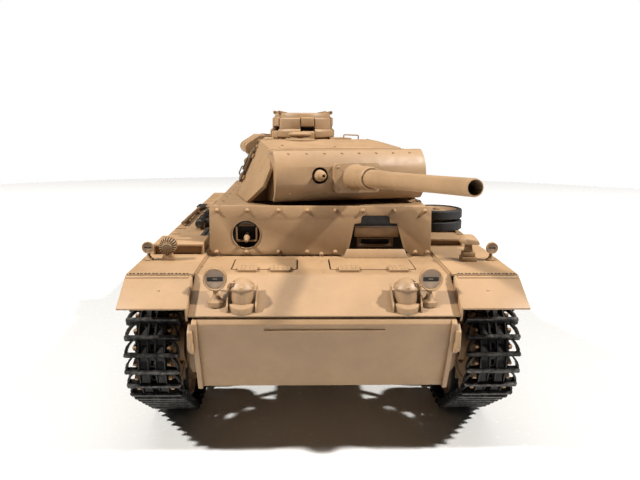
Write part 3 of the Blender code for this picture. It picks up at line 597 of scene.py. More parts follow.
def sprocket(name, side):
    """Two toothed rings on a web, a drum and a waisted cap."""
    y, z, _ = wheel_spec(f"sprocket_{name}")
    x = side * WHEEL_X
    root, tip, row = 21.0, 25.4, 7.75
    outline = []
    for tooth in range(TEETH):
        for radius, turn in ((root, -0.30), (root + 1.2, -0.22), (tip - 0.8, -0.12), (tip, -0.05),
                (tip, 0.05), (tip - 0.8, 0.12), (root + 1.2, 0.22), (root, 0.30)):
            angle = FIRST_PIN + 2 * math.pi * (tooth + 0.5 + turn) / TEETH
            outline.append((y + radius * math.cos(angle), z + radius * math.sin(angle)))
    holes = [rod(along_x(0, *point), 3.1, -100, 100) for point in circle((y, z), 14.4, 8)]
    rings = []
    for sign in (-1, 1):
        disc = prism(outline, x + sign * row - 0.85, x + sign * row + 0.85)
        hole = rod(along_x(x + sign * row, y, z), 17.4, -2, 2, 40)
        rings.append(cut(disc, hole))
    web = turned([(7.0, 4.2), (11.5, 6.2), (18.6, 6.9), (18.6, 7.9), (11.0, 7.4), (7.0, 6.4), (7.0, 4.2)],
        48, along_x(x, y, z, side))
    web = cut(web, gather(*holes))
    drum = turned([(10.8, -9.4), (14.5, -8.2), (18.2, -8.2), (18.2, -7.2), (15.6, -6.8), (15.6, 5.0),
        (14.8, 5.0), (14.8, -6.6), (10.8, -7.8), (10.8, -9.4)], 40, along_x(x, y, z, side))
    cap = turned([(0, -11.8), (9, -11.8), (9, -6), (5, 2), (7.2, 4), (7.6, 6.6), (7.3, 9.0), (6.0, 10.2),
        (3.2, 10.4), (2.8, 11.4), (0, 11.5)], 32, along_x(x, y, z, side))
    heads = face_bolts(x + side * 7.7, (y, z), 19.4, TEETH, side)
    heads += face_bolts(x + side * 10.0, (y, z), 5.4, 8, side)
    body = f"sprocket_{name}"
    whole = gather(chamfer(gather(*rings), 0.15, 1), web, drum, cap, bolts(heads, 0.75, 0.6))
    put(f"drive_wheel_{name}", whole, PAINT, body, hides=[body])


def idler(name, side):
    """Two spoked discs with plain rims on one hub."""
    y, z, reach = wheel_spec(f"idler_{name}")
    x = side * WHEEL_X
    spot = along_x(x, y, z, side)
    openings = []
    for k in range(8):
        a, b = math.pi / 4 * k + 0.12, math.pi / 4 * (k + 1) - 0.12
        quad = [(y + r * math.cos(t), z + r * math.sin(t)) for r, t in ((9.2, a + 0.08), (17.6, a),
            (18.2, (a + b) / 2), (17.6, b), (9.2, b - 0.08))]
        openings.append(prism(quad, -110, 110))
    rims, discs = [], []
    for inner, outer in ((2.3, 8.6), (-2.3, -8.6)):
        step = math.copysign(1, outer)
        rims.append(ring(18.8, reach, inner, outer, 48, spot))
        discs.append(turned([(7, outer - step * 2.2), (19.4, outer - step), (19.4, outer - step * 2.0),
            (7, outer - step * 3.4), (7, outer - step * 2.2)], 48, spot))
    wheel = cut(gather(*discs), gather(*openings))
    hub = turned([(0, -11.5), (7, -11.5), (7.4, 6.4), (6.8, 8.0), (5.2, 8.6), (5.0, 10.0), (2.2, 10.4),
        (0, 10.4)], 32, spot)
    heads = face_bolts(x + side * 8.0, (y, z), 6.2, 8, side)
    body = f"idler_{name}"
    whole = gather(wheel, *rims, hub, bolts(heads, 0.6, 0.5))
    put(f"rear_wheel_{name}", whole, PAINT, body, hides=[body])


def tyred(spot, radius, tyre, rows, dish, hub):
    """Discs with rubber tyres on one hub; the tyres take the second material."""
    parts = []
    rim, edge = radius - tyre, 0.7
    for low, high in rows:
        tread = [(rim, low), (radius - edge, low), (radius, low + edge), (radius, high - edge),
            (radius - edge, high), (rim, high), (rim, low)]
        parts.append(tint(turned(tread, 44, spot), 1))
        face = high if high > 0 else low
        step = math.copysign(1, face)
        depths = [(hub, dish), (hub + 1.5, dish + 0.2), (rim - 2.2, dish * 0.7), (rim - 0.9, 0), (rim, 0),
            (rim, 5.6), (rim - 0.8, 5.6), (rim - 2.4, dish * 0.7 + 0.9), (hub, dish + 1.2), (hub, dish)]
        parts.append(turned([(r, face - step * depth) for r, depth in depths], 44, spot))
    return parts


def road_wheel(name, side, index):
    body = f"road_wheel_{name}_{index}"
    y, z, reach = wheel_spec(body)
    spot = along_x(side * WHEEL_X, y, z, side)
    parts = tyred(spot, reach - 0.05, 3.0, ((2.2, 7.9), (-7.9, -2.2)), 2.2, 4.6)
    parts.append(turned([(0, -10.4), (4.4, -10.4), (5.0, -5.6), (5.0, 5.8), (4.4, 7.2), (3.0, 8.2),
        (0, 8.5)], 24, spot))
    parts.append(bolts(face_bolts(side * (WHEEL_X + 5.7), (y, z), 6.4, 8, side), 0.6, 0.5))
    put(f"wheel_{name}_{index}", parts, (PAINT, RUBBER), body, hides=[body])


def return_roller(name, side, index):
    body = f"return_roller_{name}_{index}"
    y, z, reach = wheel_spec(body)
    spot = along_x(side * WHEEL_X, y, z, side)
    parts = tyred(spot, reach + 0.1, 1.9, ((2.0, 6.7), (-6.7, -2.0)), 1.2, 3.0)
    parts.append(turned([(0, -9.4), (3.4, -9.4), (3.6, 4.8), (2.4, 6.2), (0, 6.5)], 20, spot))
    parts.append(bolts(face_bolts(side * (WHEEL_X + 5.3), (y, z), 4.6, 6, side), 0.45, 0.4))
    put(f"roller_{name}_{index}", parts, (PAINT, RUBBER), body, hides=[body])


def build_running_gear():
    for name, side in SIDES:
        track(name, side)
        sprocket(name, side)
        idler(name, side)
        for i in ROAD_WHEELS:
            road_wheel(name, side, i)
        for i in ROLLERS:
            return_roller(name, side, i)


# ---------------------------------------------------------------- hull
HULL_X = 58.6
DECK_Z = 77.0
NOSE = (0.0, 64.1)
DECK_Y = 23.0
FENDER_TOP = span("front_flap_left")[2][1] - 0.85
FRONT_Y = 71.5
ROOF_Z = 101.8
NOSE_SLOPE = (DECK_Z - NOSE[1]) / DECK_Y
LEAF_X = {name: span(f"glacis_hatch_{name}")[0] for name, _ in SIDES}
LEAF_Y = (33.4, 57.0)
RING_Y = 145.7                              # the turret ring's axis
SUPER_X = 58.4                              # half width of the superstructure
TAIL_Y = 322
BALL = (sum(span("hull_machine_gun")[0]) / 2, 88.6)     # the hull machine gun's x and z


def nose_z(y):
    return NOSE[1] + NOSE_SLOPE * y


def capsule(a, b, r1, r2, steps=8):
    """Outline around two circles."""
    turn = math.degrees(math.atan2(b[1] - a[1], b[0] - a[0]))
    return arc(a, r1, turn + 90, turn + 270, steps) + arc(b, r2, turn - 90, turn + 90, steps)


def lower_hull():
    """Tub with nose plate, front deck, towing eyes, arms, axles, stops and tail."""
    tub = prism([(0.5, 62.5), (-0.7, 60.3), (14.6, 24.9), (300, 24.9), (TAIL_Y, 48), (TAIL_Y, 76.4),
        (73.5, 76.4), (73.5, 75.4), (23.6, 75.4)], -HULL_X, HULL_X)
    parts = [chamfer(tub, 0.35)]
    glacis = prism([(0.1, 63.4), (0, NOSE[1]), (DECK_Y, DECK_Z), (FRONT_Y - 0.2, DECK_Z), (FRONT_Y - 0.2,
        75.6), (23.4, 75.6)], -60.42, 60.42)
    parts.append(box((-HULL_X, HULL_X), (FRONT_Y - 0.3, 74), (75.6, DECK_Z)))
    for low, high in LEAF_X.values():
        glacis = cut(glacis, prism(rounded((low - 0.7, high + 0.7), (LEAF_Y[0] - 0.7, LEAF_Y[1] + 0.5),
            2.2), 70, 90, "Z"))
    parts.append(chamfer(glacis, 0.22))
    for _, side in SIDES:
        flange = [(-1.9, 60.8), (-1.9, 59.4), (12.9, 24.2), (17, 24.2), (6, 62.2), (0.3, 62.4)]
        parts.append(chamfer(prism(flange, *pair(side, 56.5, 58.8)), 0.3))
        eye = [(1.5, 60.6), (-2.4, 57), (-2.6, 50), (-0.5, 47.4), (9, 42.6), (16, 42.6), (16, 60.6)]
        eye = cut(prism(eye, *pair(side, 58.4, 60.6)), rod(along_x(0, 1.8, 53), 2.1, -70, 70, 20))
        parts.append(chamfer(eye, 0.35))
        spots = [(side * 60.6, y, z) for y, z in ((10, 57.5), (10, 46.5), (5, 57.5))]
        parts.append(bolts([facing(spot, (side, 0, 0)) for spot in spots], 0.9))
        x = side * HULL_X
        sy, sz, _ = wheel_spec("sprocket_left")
        parts.append(turned([(0, -1), (16.2, -1), (16.2, 1.2), (14.6, 2.2), (14.6, 4.6), (12.2, 6.4),
            (0, 6.7)], 40, along_x(x, sy, sz, side)))
        parts.append(bolts(face_bolts(x + side * 1.2, (sy, sz), 15.4, 16, side), 0.6, 0.6))
        iy, iz, _ = wheel_spec("idler_left")
        parts.append(turned([(0, -1), (10.5, -1), (10.5, 1.0), (8.4, 2.0), (6.2, 2.4), (6.0, 7.6),
            (0, 7.6)], 28, along_x(x, iy, iz, side)))
        adjuster = prism(capsule((iy - 22, iz + 3), (iy, iz), 2.6, 4.4), *outward(x, side * 3.4))
        parts.append(chamfer(adjuster, 0.4))
        for i in ROAD_WHEELS:
            y, z, _ = wheel_spec(f"road_wheel_left_{i}")
            pivot = (y - 9.0, z + 18.0)
            arm = prism(capsule(pivot, (y, z), 4.4, 3.8), *sorted((x + side * 0.8, x + side * 4.0)))
            parts.append(chamfer(arm, 0.5))
            parts.append(turned([(0, -1), (6.4, -1), (6.4, 0.9), (5.0, 1.4), (4.6, 4.4), (3.4, 5.0),
                (0, 5.0)], 20, along_x(x, *pivot, side)))
            parts.append(rod(along_x(x, y, z, side), 3.0, 0.8, 9.3, 16))
            parts.append(bolts(face_bolts(x + side * 0.9, pivot, 5.7, 6, side), 0.45, 0.4))
            stop = prism([(y - 4, 36), (y + 6, 36), (y + 5, 39.5), (y - 2, 39.5)], *outward(x, side * 3.2))
            parts.append(chamfer(stop, 0.4))
        for i in (1, 6):
            y, z, _ = wheel_spec(f"road_wheel_left_{i}")
            lean = 8 if i == 1 else -8
            low = Vector((x + side * 2.6, y + 3, z + 6))
            high = Vector((x + side * 2.6, y + 3 + lean, z + 35))
            parts += [between(low, low.lerp(high, 0.55), 2.4), between(low.lerp(high, 0.5), high, 1.5)]
        for i in ROLLERS:
            y, z, _ = wheel_spec(f"return_roller_left_{i}")
            parts.append(turned([(0, -1), (4.6, -1), (4.6, 1.0), (3.0, 1.8), (2.6, 9.6), (0, 9.6)], 20,
                along_x(x, y, z, side)))
            brace = prism([(y - 2.6, z - 8), (y + 2.6, z - 8), (y + 1.2, z), (y - 1.2, z)],
                *outward(x, side * 5))
            parts.append(chamfer(brace, 0.3))
    parts.append(chamfer(box((-27, 27), (-0.2, 1.5), (57.0, 57.25)), 0.05))
    for x in (-46, -15, 15, 46):
        parts.append(chamfer(box(about(x, 1.2), (TAIL_Y, TAIL_Y + 2.4), (50, 74)), 0.4))
    for _, side in SIDES:
        hook = prism([(320, 56), (328, 56), (331, 52), (331, 46), (327, 44), (327, 50), (320, 51)],
            *pair(side, 40, 43.5))
        parts.append(chamfer(hook, 0.5))
    spots = [(x, TAIL_Y, z) for x in range(-54, 55, 9) for z in (52, 73.5)]
    parts.append(bolts([facing(spot, (0, 1, 0)) for spot in spots], 0.7))
    put("hull_tub", parts, PAINT, "hull", hides=["lower_hull"])


def glacis_fittings():
    """Hinges and leaves of the front deck's two hatches, the lip under the visor, screws."""
    for name in ("left", "right"):
        low, high = LEAF_X[name]
        body = f"glacis_hatch_{name}"
        leaf = [chamfer(prism(rounded((low, high), LEAF_Y, 1.4), DECK_Z - 1.0, DECK_Z + 0.35, "Z"), 0.25)]
        # A thin near-black plate under each leaf darkens the gap round it: painted shade.
        fixed = [tint(prism(rounded((low - 0.5, high + 0.5), (LEAF_Y[0] - 0.5, LEAF_Y[1] + 0.6), 1.6),
            DECK_Z - 1.3, DECK_Z - 1.1, "Z"), 1)]
        pads = {"left": ((7.7, 17.8), (32.0, 41.4)), "right": ((-41.0, -31.6), (-25.4, -15.6))}[name]
        y, z = span(body)[1][0] + 1.2, DECK_Z + 1.0
        for a, b in pads:
            half = prism(rounded((a, b), (y + 0.2, y + 4.6), 0.9), DECK_Z + 0.3, DECK_Z + 1.5, "Z")
            other = prism(rounded((a, b), (y - 4.4, y - 0.2), 0.9), DECK_Z - 0.2, DECK_Z + 1.4, "Z")
            leaf.append(chamfer(half, 0.2))
            fixed.append(chamfer(other, 0.2))
            step = (b - a) / 5
            for k in range(5):
                knuckle = rod(along_x(a + k * step, y, z), 0.75, 0.12, step - 0.12, 10)
                (leaf if k % 2 else fixed).append(knuckle)
            spots = [a + 1.6, (a + b) / 2 - 1.4, (a + b) / 2 + 1.4, b - 1.6]
            leaf.append(bolts([along_z(x, y + 2.7, DECK_Z + 1.5) for x in spots], 0.42, 0.35, 8))
            fixed.append(bolts([along_z(x, y - 2.6, DECK_Z + 1.4) for x in spots], 0.42, 0.35, 8))
        put(f"deck_leaf_{name}", leaf, PAINT, body, hides=[body])
        put(f"deck_hinges_{name}", fixed, (PAINT, SHADE_BLACK), "hull")
    lip = frustum(((12.2, 45.8), (58.2, 62), 77), ((13.6, 44.4), (60, 62), 81.3))
    parts = [chamfer(lip, 0.35)]
    screws = [(0, 52), (0, 28), (-55, 60), (54, 60), (-50, 28), (50, 28), (0, 62), (-7, 64), (4, 64)]
    parts.append(bolts([along_z(x, y, DECK_Z) for x, y in screws], 0.5, 0.3, 8))
    put("deck_trim", parts, PAINT, "hull")


def armour_plate():
    """Spaced plate with its bolts, the visor window and the machine gun's opening."""
    _, (y0, _), (z0, z1) = span("front_armour_plate")
    lean, thick = 3.0, 1.6
    face = prism([(y0, z0), (y0 + lean, z1), (y0 + lean + thick, z1), (y0 + thick, z0)], -59, 59)
    window = [(12.1, 76), (12.1, 77.6), (15.1, 81.4), (17.9, 94.2), (21.3, 94.6)]
    window += arc((23.4, 96.7), 1.9, 180, 90, 4) + arc((34.9, 96.7), 1.9, 90, 0, 4)
    window += [(37.1, 94.6), (40.7, 94.3), (44.3, 81.4), (47.8, 77.6), (47.8, 76)]
    mg_x, mg_z = BALL
    face = cut(face, prism(window, 40, 90, "Y"), rod(along_y(mg_x, 90, mg_z), 7.4, 5, 50, 48))
    parts = [chamfer(face, 0.28)]

    def spot(x, z):
        return facing((x, y0 + lean * (z - z0) / (z1 - z0), z), (0, -(z1 - z0), lean))
    top = (-55, -39, -22.4, -7.3, 7.8, 22.3, 38.9, 55.5)
    low = (-55.3, -39.5, -22.3, -7.2, 7.7, 50.6, 57.2)
    cones = [spot(x, 101.2) for x in top] + [spot(x, 79.3) for x in low]
    parts += [turned([(0, -0.2), (1.3, -0.2), (1.1, 0.5), (0.6, 1.5), (0.3, 1.85), (0, 1.9)], 14, s)
        for s in cones]
    parts.append(turned([(0, -0.2), (1.3, -0.2), (1.1, 0.6), (0.4, 1.1), (0, 1.2)], 12, spot(0.3, 78.2)))
    for sign in (-1, 1):
        for z in (81.5, 98.5):
            parts.append(rod(along_y(sign * 52, 74, z), 2.4, 0, 6.5, 16))
    put("front_plate", parts, PAINT, "hull", hides=["front_armour_plate"])
    # A thin rim of the lighter copy of the paint round the gun's opening: painted highlight.
    rim = ring(7.35, 7.6, 0, 0.3, 48, spot(mg_x, mg_z))
    put("gun_opening_rim", rim, HIGHLIGHT_SAND, "hull")
    # Near-black sheets behind the visor window and the gun's opening: painted shade.
    behind = [box((13, 47), (FRONT_Y - 0.35, FRONT_Y - 0.05), (77.6, 99)), rod(along_y(mg_x, FRONT_Y - 0.05,
        mg_z), 9.5, 0, 0.3, 40)]
    put("openings_shade_backing", behind, SHADE_BLACK, "hull")


def machine_gun():
    """Ball with a cheeked opening, its gun, and the socket behind it."""
    x, z = BALL
    profile = [(0, -5.4)] + arc((0, 0), 6.2, -60, 60, 12) + [(0, 5.5)]
    ball = turned(profile, 28, along_y(x, FRONT_Y + 5, z))
    # The ball takes the near-black fill: painted shade.
    parts = [tint(cut(ball, box(about(x, 4.9), (60, FRONT_Y + 2.5), (z - 3.4, z + 4.6))), 1)]
    for a, b in (((x - 5.8, x - 4.9), (z - 4.2, z + 3.6)), ((x + 4.9, x + 5.8), (z - 4.2, z + 3.6)),
            (about(x, 5.8), (z - 4.4, z - 3.5))):
        parts.append(chamfer(box(a, (66.2, 68.0), b), 0.2))
    # The hood over the ball takes the shaded paint: painted shade.
    shade = arc((x, z), 6.0, 42, 138, 12)
    parts.append(tint(chamfer(prism(shade, 66.4, 70, "Y"), 0.2), 2))
    aim = facing((x, 72, z - 1.2), (0.02, -1, -0.16))
    parts.append(turned([(0, -2), (1.3, -2), (1.3, 2.5), (1.6, 3.2), (1.6, 6.6), (1.15, 7.6), (0.95, 10.4),
        (0.65, 11.8), (0.4, 11.9), (0.35, 9), (0, 9)], 20, aim))
    put("ball_gun", parts, (PAINT, SHADE_BLACK, SHADY), "hull_machine_gun", hides=["hull_machine_gun"])
    # The socket ring behind the ball takes the shaded paint: painted shade.
    back = ring(6.6, 9.0, 0, 2.6, 40, along_y(x, FRONT_Y + 3.0, z))
    put("ball_socket", back, SHADY, "hull")


def visor():
    """Sliding bar over a fixed block with a slit."""
    (x0, x1), (y0, _), (z0, z1) = span("driver_visor")
    bar = prism([(y0 + 0.6, z0 - 1.6), (69.4, z0 - 1.6), (69.4, z1 - 1.9), (y0 + 1.4, z1 - 1.9),
        (y0 + 0.2, z0 + 3.2), (y0 + 0.2, z0 + 0.2)], x0 - 0.3, x1 + 0.3)
    put("visor_bar", chamfer(bar, 0.5), PAINT, "driver_visor", hides=["driver_visor"])
    # The block takes the shaded paint and its slit a near-black strip: painted shade.
    block = box((19.6, 39.6), (69.6, 73.5), (80.6, 86.1))
    block = cut(block, prism(rounded((22.0, 37.0), (82.5, 85.1), 0.5), 60, 71.6, "Y"))
    parts = [chamfer(block, 0.3)]
    parts.append(tint(box((22.2, 36.8), (71.3, 71.7), (82.6, 85.0)), 1))
    put("visor_block", parts, (SHADY, SHADE_BLACK), "hull")


def upper_hull():
    """Superstructure, roof plate and engine deck."""
    base = DECK_Z + 0.35
    rear = span("upper_hull")[1][1]
    lower = prism([(FRONT_Y, base), (FRONT_Y + 3.0, ROOF_Z - 1.6), (214, ROOF_Z - 1.6), (222, 94),
        (300, 92), (rear - 4, 86), (rear, 80), (rear, base)], -SUPER_X, SUPER_X)
    lower = cut(lower, rod(along_z(0, RING_Y, 0), 46.5, 84, 120, 64), rod(along_y(BALL[0], 90, BALL[1]),
        6.6, 5, 30, 40))
    roof = prism([(FRONT_Y + 2.4, ROOF_Z - 1.6), (FRONT_Y + 2.9, ROOF_Z), (214.4, ROOF_Z),
        (214.8, ROOF_Z - 1.6)], -59, 59)
    roof = cut(roof, rod(along_z(0, RING_Y, 0), 47, 90, 120, 72))
    deck = prism([(214, ROOF_Z - 1.8), (222, 94), (300, 92), (rear - 4, 86), (rear, 80), (rear + 0.4, 80.6),
        (rear - 3.4, 87.2), (300.3, 93.4), (222.3, 95.5), (214.6, ROOF_Z - 0.4)], -59, 59)
    for name, side in SIDES:
        x, y, _ = span(f"engine_hatch_{name}")
        deck = cut(deck, box((x[0] + 1, x[1] - 2), (y[0] + 1, y[1] - 1), (88, 100)))
    parts = [chamfer(lower, 0.35), chamfer(roof, 0.3), chamfer(deck, 0.3)]
    screws = [along_z(sx * 55.5, y, ROOF_Z) for sx in (-1, 1) for y in range(80, 212, 18)]
    screws += [along_z(x, 77.4, ROOF_Z) for x in (-47, -31, -15, 1, 17, 31, 47)]
    screws += [along_z(x, 209, ROOF_Z) for x in (-40, -20, 0, 20, 40)]
    parts.append(bolts(screws, 0.75, 0.5, 8))
    for _, side in SIDES:
        x = side * SUPER_X
        parts.append(chamfer(box(outward(x, side * 0.9), (78, 92), (86, 97)), 0.3))
        parts.append(turned([(0, 0), (3.2, 0), (2.6, 1.4), (1.0, 2.2), (0, 2.3)], 20, along_x(x, 85, 91.5,
            side)))
        parts.append(chamfer(box(outward(x, side * 1.0), (196, 211), (84, 97)), 0.3))
        for k in range(9):
            y = 232 + 8.2 * k
            slat = hull([(x + side * a, y + b, z) for a, b, z in ((0, 0, 80.5), (0, 5, 80.5),
                (1.6, 1.2, 81), (1.6, 3.8, 81), (0, 0, 90.5), (0, 5, 90.5), (1.6, 1.2, 90),
                (1.6, 3.8, 90))])
            parts.append(chamfer(slat, 0.2))
        parts.append(bolts([facing((x, y, 79.6), (side, 0, 0)) for y in range(80, 330, 14)], 0.6, 0.5))
    for x in (-36, 0, 36):
        frame_box = box(about(x, 14), (303, 326), (86, 92.6))
        parts.append(chamfer(frame_box, 0.5))
        # Near-black strips on top of each grille frame stand for its slots: painted shade.
        for k in range(5):
            y = 305.4 + 4.1 * k
            parts.append(tint(box(about(x, 12), (y, y + 2.0), (92.3, 92.8)), 1))
    parts.append(bolts([facing((x, rear, 78.6), (0, 1, 0)) for x in range(-54, 55, 12)], 0.7, 0.5))
    put("superstructure", parts, (PAINT, SHADE_BLACK), "hull", hides=["upper_hull"])


def engine_hatches():
    """Deck leaves with a slotted armoured cowl and strap hinges."""
    for name, side in SIDES:
        body = f"engine_hatch_{name}"
        slope = -2.0 / 78
        pivot_x = 30.0 * side

        def lift(x, y, h):
            return (x, y, 95.5 + slope * (y - 222) + 0.35 + h)
        a, b = pair(side, 2.5, 30.0)
        leaf = hull([lift(x, y, h) for x in (a, b) for y in (236, 286) for h in (0, 1.5)])
        parts = [chamfer(leaf, 0.35)]
        mid = (a + b) / 2
        cowl = frustum((about(mid, 10), (242, 270), 1.2), (about(mid, 8.4), (244, 268), 6.2),
            lambda p: lift(*p))
        parts.append(chamfer(cowl, 0.5))
        # Near-black strips on the cowl stand for its slots: painted shade.
        for k in range(6):
            y = 245.6 + 3.7 * k
            slot = hull([lift(mid + dx, y + dy, h) for dx in (-7.2, 7.2) for dy in (0, 1.7)
                for h in (5.8, 6.32)])
            parts.append(tint(slot, 1))
        for y in (243, 261, 279):
            parts.append(rod(lambda u, v, h, y=y: Vector(lift(pivot_x, y + h, 1.25)) + Vector((u, 0, v)),
                1.05, -3.4, 3.4, 12))
            strap = hull([lift(x, y + dy, h) for x in (pivot_x, pivot_x - side * 7) for dy in (-1.6, 1.6)
                for h in (1.2, 2.1)])
            parts.append(chamfer(strap, 0.25))
            parts.append(bolts([along_z(*lift(pivot_x - side * 5, y, 2.0))], 0.6, 0.5))
        handle = bend([lift(mid - 4, 277, 1), lift(mid - 4, 277, 4), lift(mid + 4, 277, 4),
            lift(mid + 4, 277, 1)], 1.2)
        parts.append(tube(handle, 0.55))
        put(f"engine_leaf_{name}", parts, (PAINT, SHADE_BLACK), body, hides=[body])


# ---------------------------------------------------------------- fenders and their fittings
def fender(name, side):
    """Track guard with a turned-down tail, edge rail, ribs and brackets."""
    front, rear = span(f"fender_{name}")[1]
    top, inner, outer = FENDER_TOP, 58.9, 91.3
    strip = [(front, top), (front, top - 1.1), (rear - 9, top - 1.1), (rear - 1.4, top - 8.8),
        (rear, top - 8.4), (rear - 8.2, top)]
    guard = prism(strip, *pair(side, inner, outer))
    guard = cut(guard, box(pair(side, 57, 60.48), (front - 1, FRONT_Y), about(top, 4)))
    parts = [chamfer(guard, 0.15)]
    parts.append(hull([(side * x, y, z) for x, z in ((59.9, DECK_Z + 0.04), (61.3, top + 0.04), (59.9, 75),
        (61.3, 75.6)) for y in (DECK_Y + 0.6, FRONT_Y - 0.3)]))
    rail = [(front + 0.2, top - 0.2), (front + 0.2, top - 3.2), (rear - 14, top - 3.2),
        (rear - 10, top - 0.2)]
    parts.append(chamfer(prism(rail, *pair(side, 90.5, outer)), 0.25))
    for y in range(118, 320, 19):
        rib = box(pair(side, 84.5, 90.6), (y, y + 1.0), (top - 0.2, top + 0.45))
        parts.append(chamfer(rib, 0.2))
    for y in (40, 100, 160, 220, 280):
        brace = hull([(side * x, y + dy, z) for x, z in ((58.8, top - 1.2), (88, top - 1.2),
            (58.8, top - 7.5)) for dy in (-0.5, 0.5)])
        parts.append(chamfer(brace, 0.15))
    put(f"guard_{name}", parts, PAINT, "hull", hides=[f"fender_{name}"])


def front_flap(name, side):
    """Mud flap with its inner web and half of a long hinge."""
    body = f"front_flap_{name}"
    pivot = JOINTS[f"{body}_lift"]["pos_m"]
    _, y, z = HULL.inverted() @ Vector(pivot)
    low_y, low_z = span(body)[1][0], 67.8
    run, rise = y + 0.3 - low_y, z + 0.1 - low_z
    length = math.hypot(run, rise)
    down = Vector((rise, -run)) / length
    thick = 1.1
    edge, bend_at = Vector((low_y, low_z)), Vector((y + 0.3, z + 0.1))
    quad = [edge, bend_at, bend_at + down * thick, edge + down * thick]
    slab = prism([tuple(p) for p in quad], *pair(side, 61.0, 91.3))
    web = [(low_y + 0.3, low_z), (0.3, 62.8), (1.3, 61.3), (3.2, 60.5), (9, 60.0), (16.0, 59.6),
        (17.0, z - 0.6)]
    web = prism(web, *pair(side, 60.5, 61.5))
    parts = [chamfer(slab, 0.3), chamfer(web, 0.25)]
    step = 28.0 / 8
    fixed = []
    for k in range(8):
        start = side * (61.9 + k * step)
        fixed.append(rod(along_x(start, y, z + 0.1, side), 0.85, 0.1, step * 0.62, 12))
        parts.append(rod(along_x(start, y, z + 0.1, side), 0.85, step * 0.66, step - 0.02, 12))
        # Near-black blocks between the knuckles stand for the hinge's slots: painted shade.
        for low in (0.35, 1.85):
            slot = box(sorted((start + side * low, start + side * (low + 1.15))), (y - 0.66, y - 0.1),
                (z + 0.45, z + 0.92))
            fixed.append(tint(chamfer(slot, 0.1), 1))
    strip = box(pair(side, 62.2, 90.8), (y + 0.5, y + 1.7), (FENDER_TOP - 0.1, FENDER_TOP + 0.35))
    fixed.append(chamfer(strip, 0.12))
    leaf = [bend_at - Vector((1, rise / run)) * d - down * h for d, h in ((0.9, -0.1), (0.9, 0.35),
        (2.1, 0.35), (2.1, -0.1))]
    parts.append(chamfer(prism([tuple(p) for p in leaf], *pair(side, 62.2, 90.8)), 0.12))
    screw = bend_at - Vector((1, rise / run)) * 9
    parts.append(bolts([facing((side * 74.5, *screw), (0, -down.x, -down.y))], 0.6, 0.4, 8))
    put(f"flap_{name}", parts, PAINT, body, hides=[body])
    put(f"flap_hinge_{name}", fixed, (PAINT, SHADE_BLACK), "hull")


def slot_lamp(x, y, z, radius, slot):
    """Blackout cover with a dark slot; returns the parts."""
    spot = along_y(x, y, z)
    cover = turned([(0, -radius * 0.9), (radius * 0.5, -radius * 0.82), (radius * 0.85, -radius * 0.45),
        (radius, -radius * 0.05), (radius, radius * 0.4), (radius * 0.97, radius * 0.48), (radius * 0.90,
        radius * 0.5), (radius * 0.86, radius * 0.44), (radius * 0.84, radius * 0.3), (0, radius * 0.33)],
        40, spot)
    for face in cover.faces:
        middle = face.calc_center_median()
        if face.normal.y < -0.9 and math.hypot(middle.x - x, middle.z - z) < radius * 0.8:
            face.material_index = 2
    cover = cut(cover, prism(rounded((x - slot[0] / 2, x + slot[0] / 2), (z - slot[1] / 2, z + slot[1] / 2),
        slot[1] * 0.25), y - radius, y - radius * 0.18, "Y"))
    glass = box((x - slot[0] / 2, x + slot[0] / 2), (y - radius * 0.22, y - radius * 0.16),
        (z - slot[1] / 2, z + slot[1] / 2))
    # A small pale patch in front of the slot's glass: painted highlight.
    slot_glint = box((x - slot[0] * 0.14, x + slot[0] * 0.14), (y - radius * 0.24, y - radius * 0.2),
        (z - slot[1] * 0.12, z + slot[1] * 0.12))
    return [cover, tint(glass, 1), tint(slot_glint, 2)]


def headlight(name, side):
    """Round lamp on a stem, with its lead to the nose."""
    (x0, x1), _, (_, top) = span(f"headlight_{name}")
    x, y, z = (x0 + x1) / 2 - (1.2 if side > 0 else 0), 6.8, top - 5.1
    parts = slot_lamp(x, y, z, 5.3, (7.2, 2.1))
    ground = nose_z(y)
    parts.append(turned([(0, -1.6), (3.9, -1.6), (3.9, 0.5), (3.3, 1.0), (2.6, 1.3), (1.7, 2.6), (1.2, 4.4),
        (1.15, 6.2), (1.5, 6.8), (1.5, 8.4), (0, 8.6)], 28, along_z(x, y + 0.6, ground + 0.4)))
    parts.append(bolts([along_z(*point, ground + 1.2) for point in arc((x, y + 0.6), 3.0, 45, 315, 3)],
        0.45, 0.4))
    parts.append(tube([(x, y + 3, z - 1), (x, y + 5.5, z - 3), (x, y + 6.5, z - 6),
        (x, y + 6.8, nose_z(y + 6.8))], 0.4))
    put(f"headlamp_{name}", parts, (PAINT, LENS, FACE), "hull", hides=[f"headlight_{name}"])


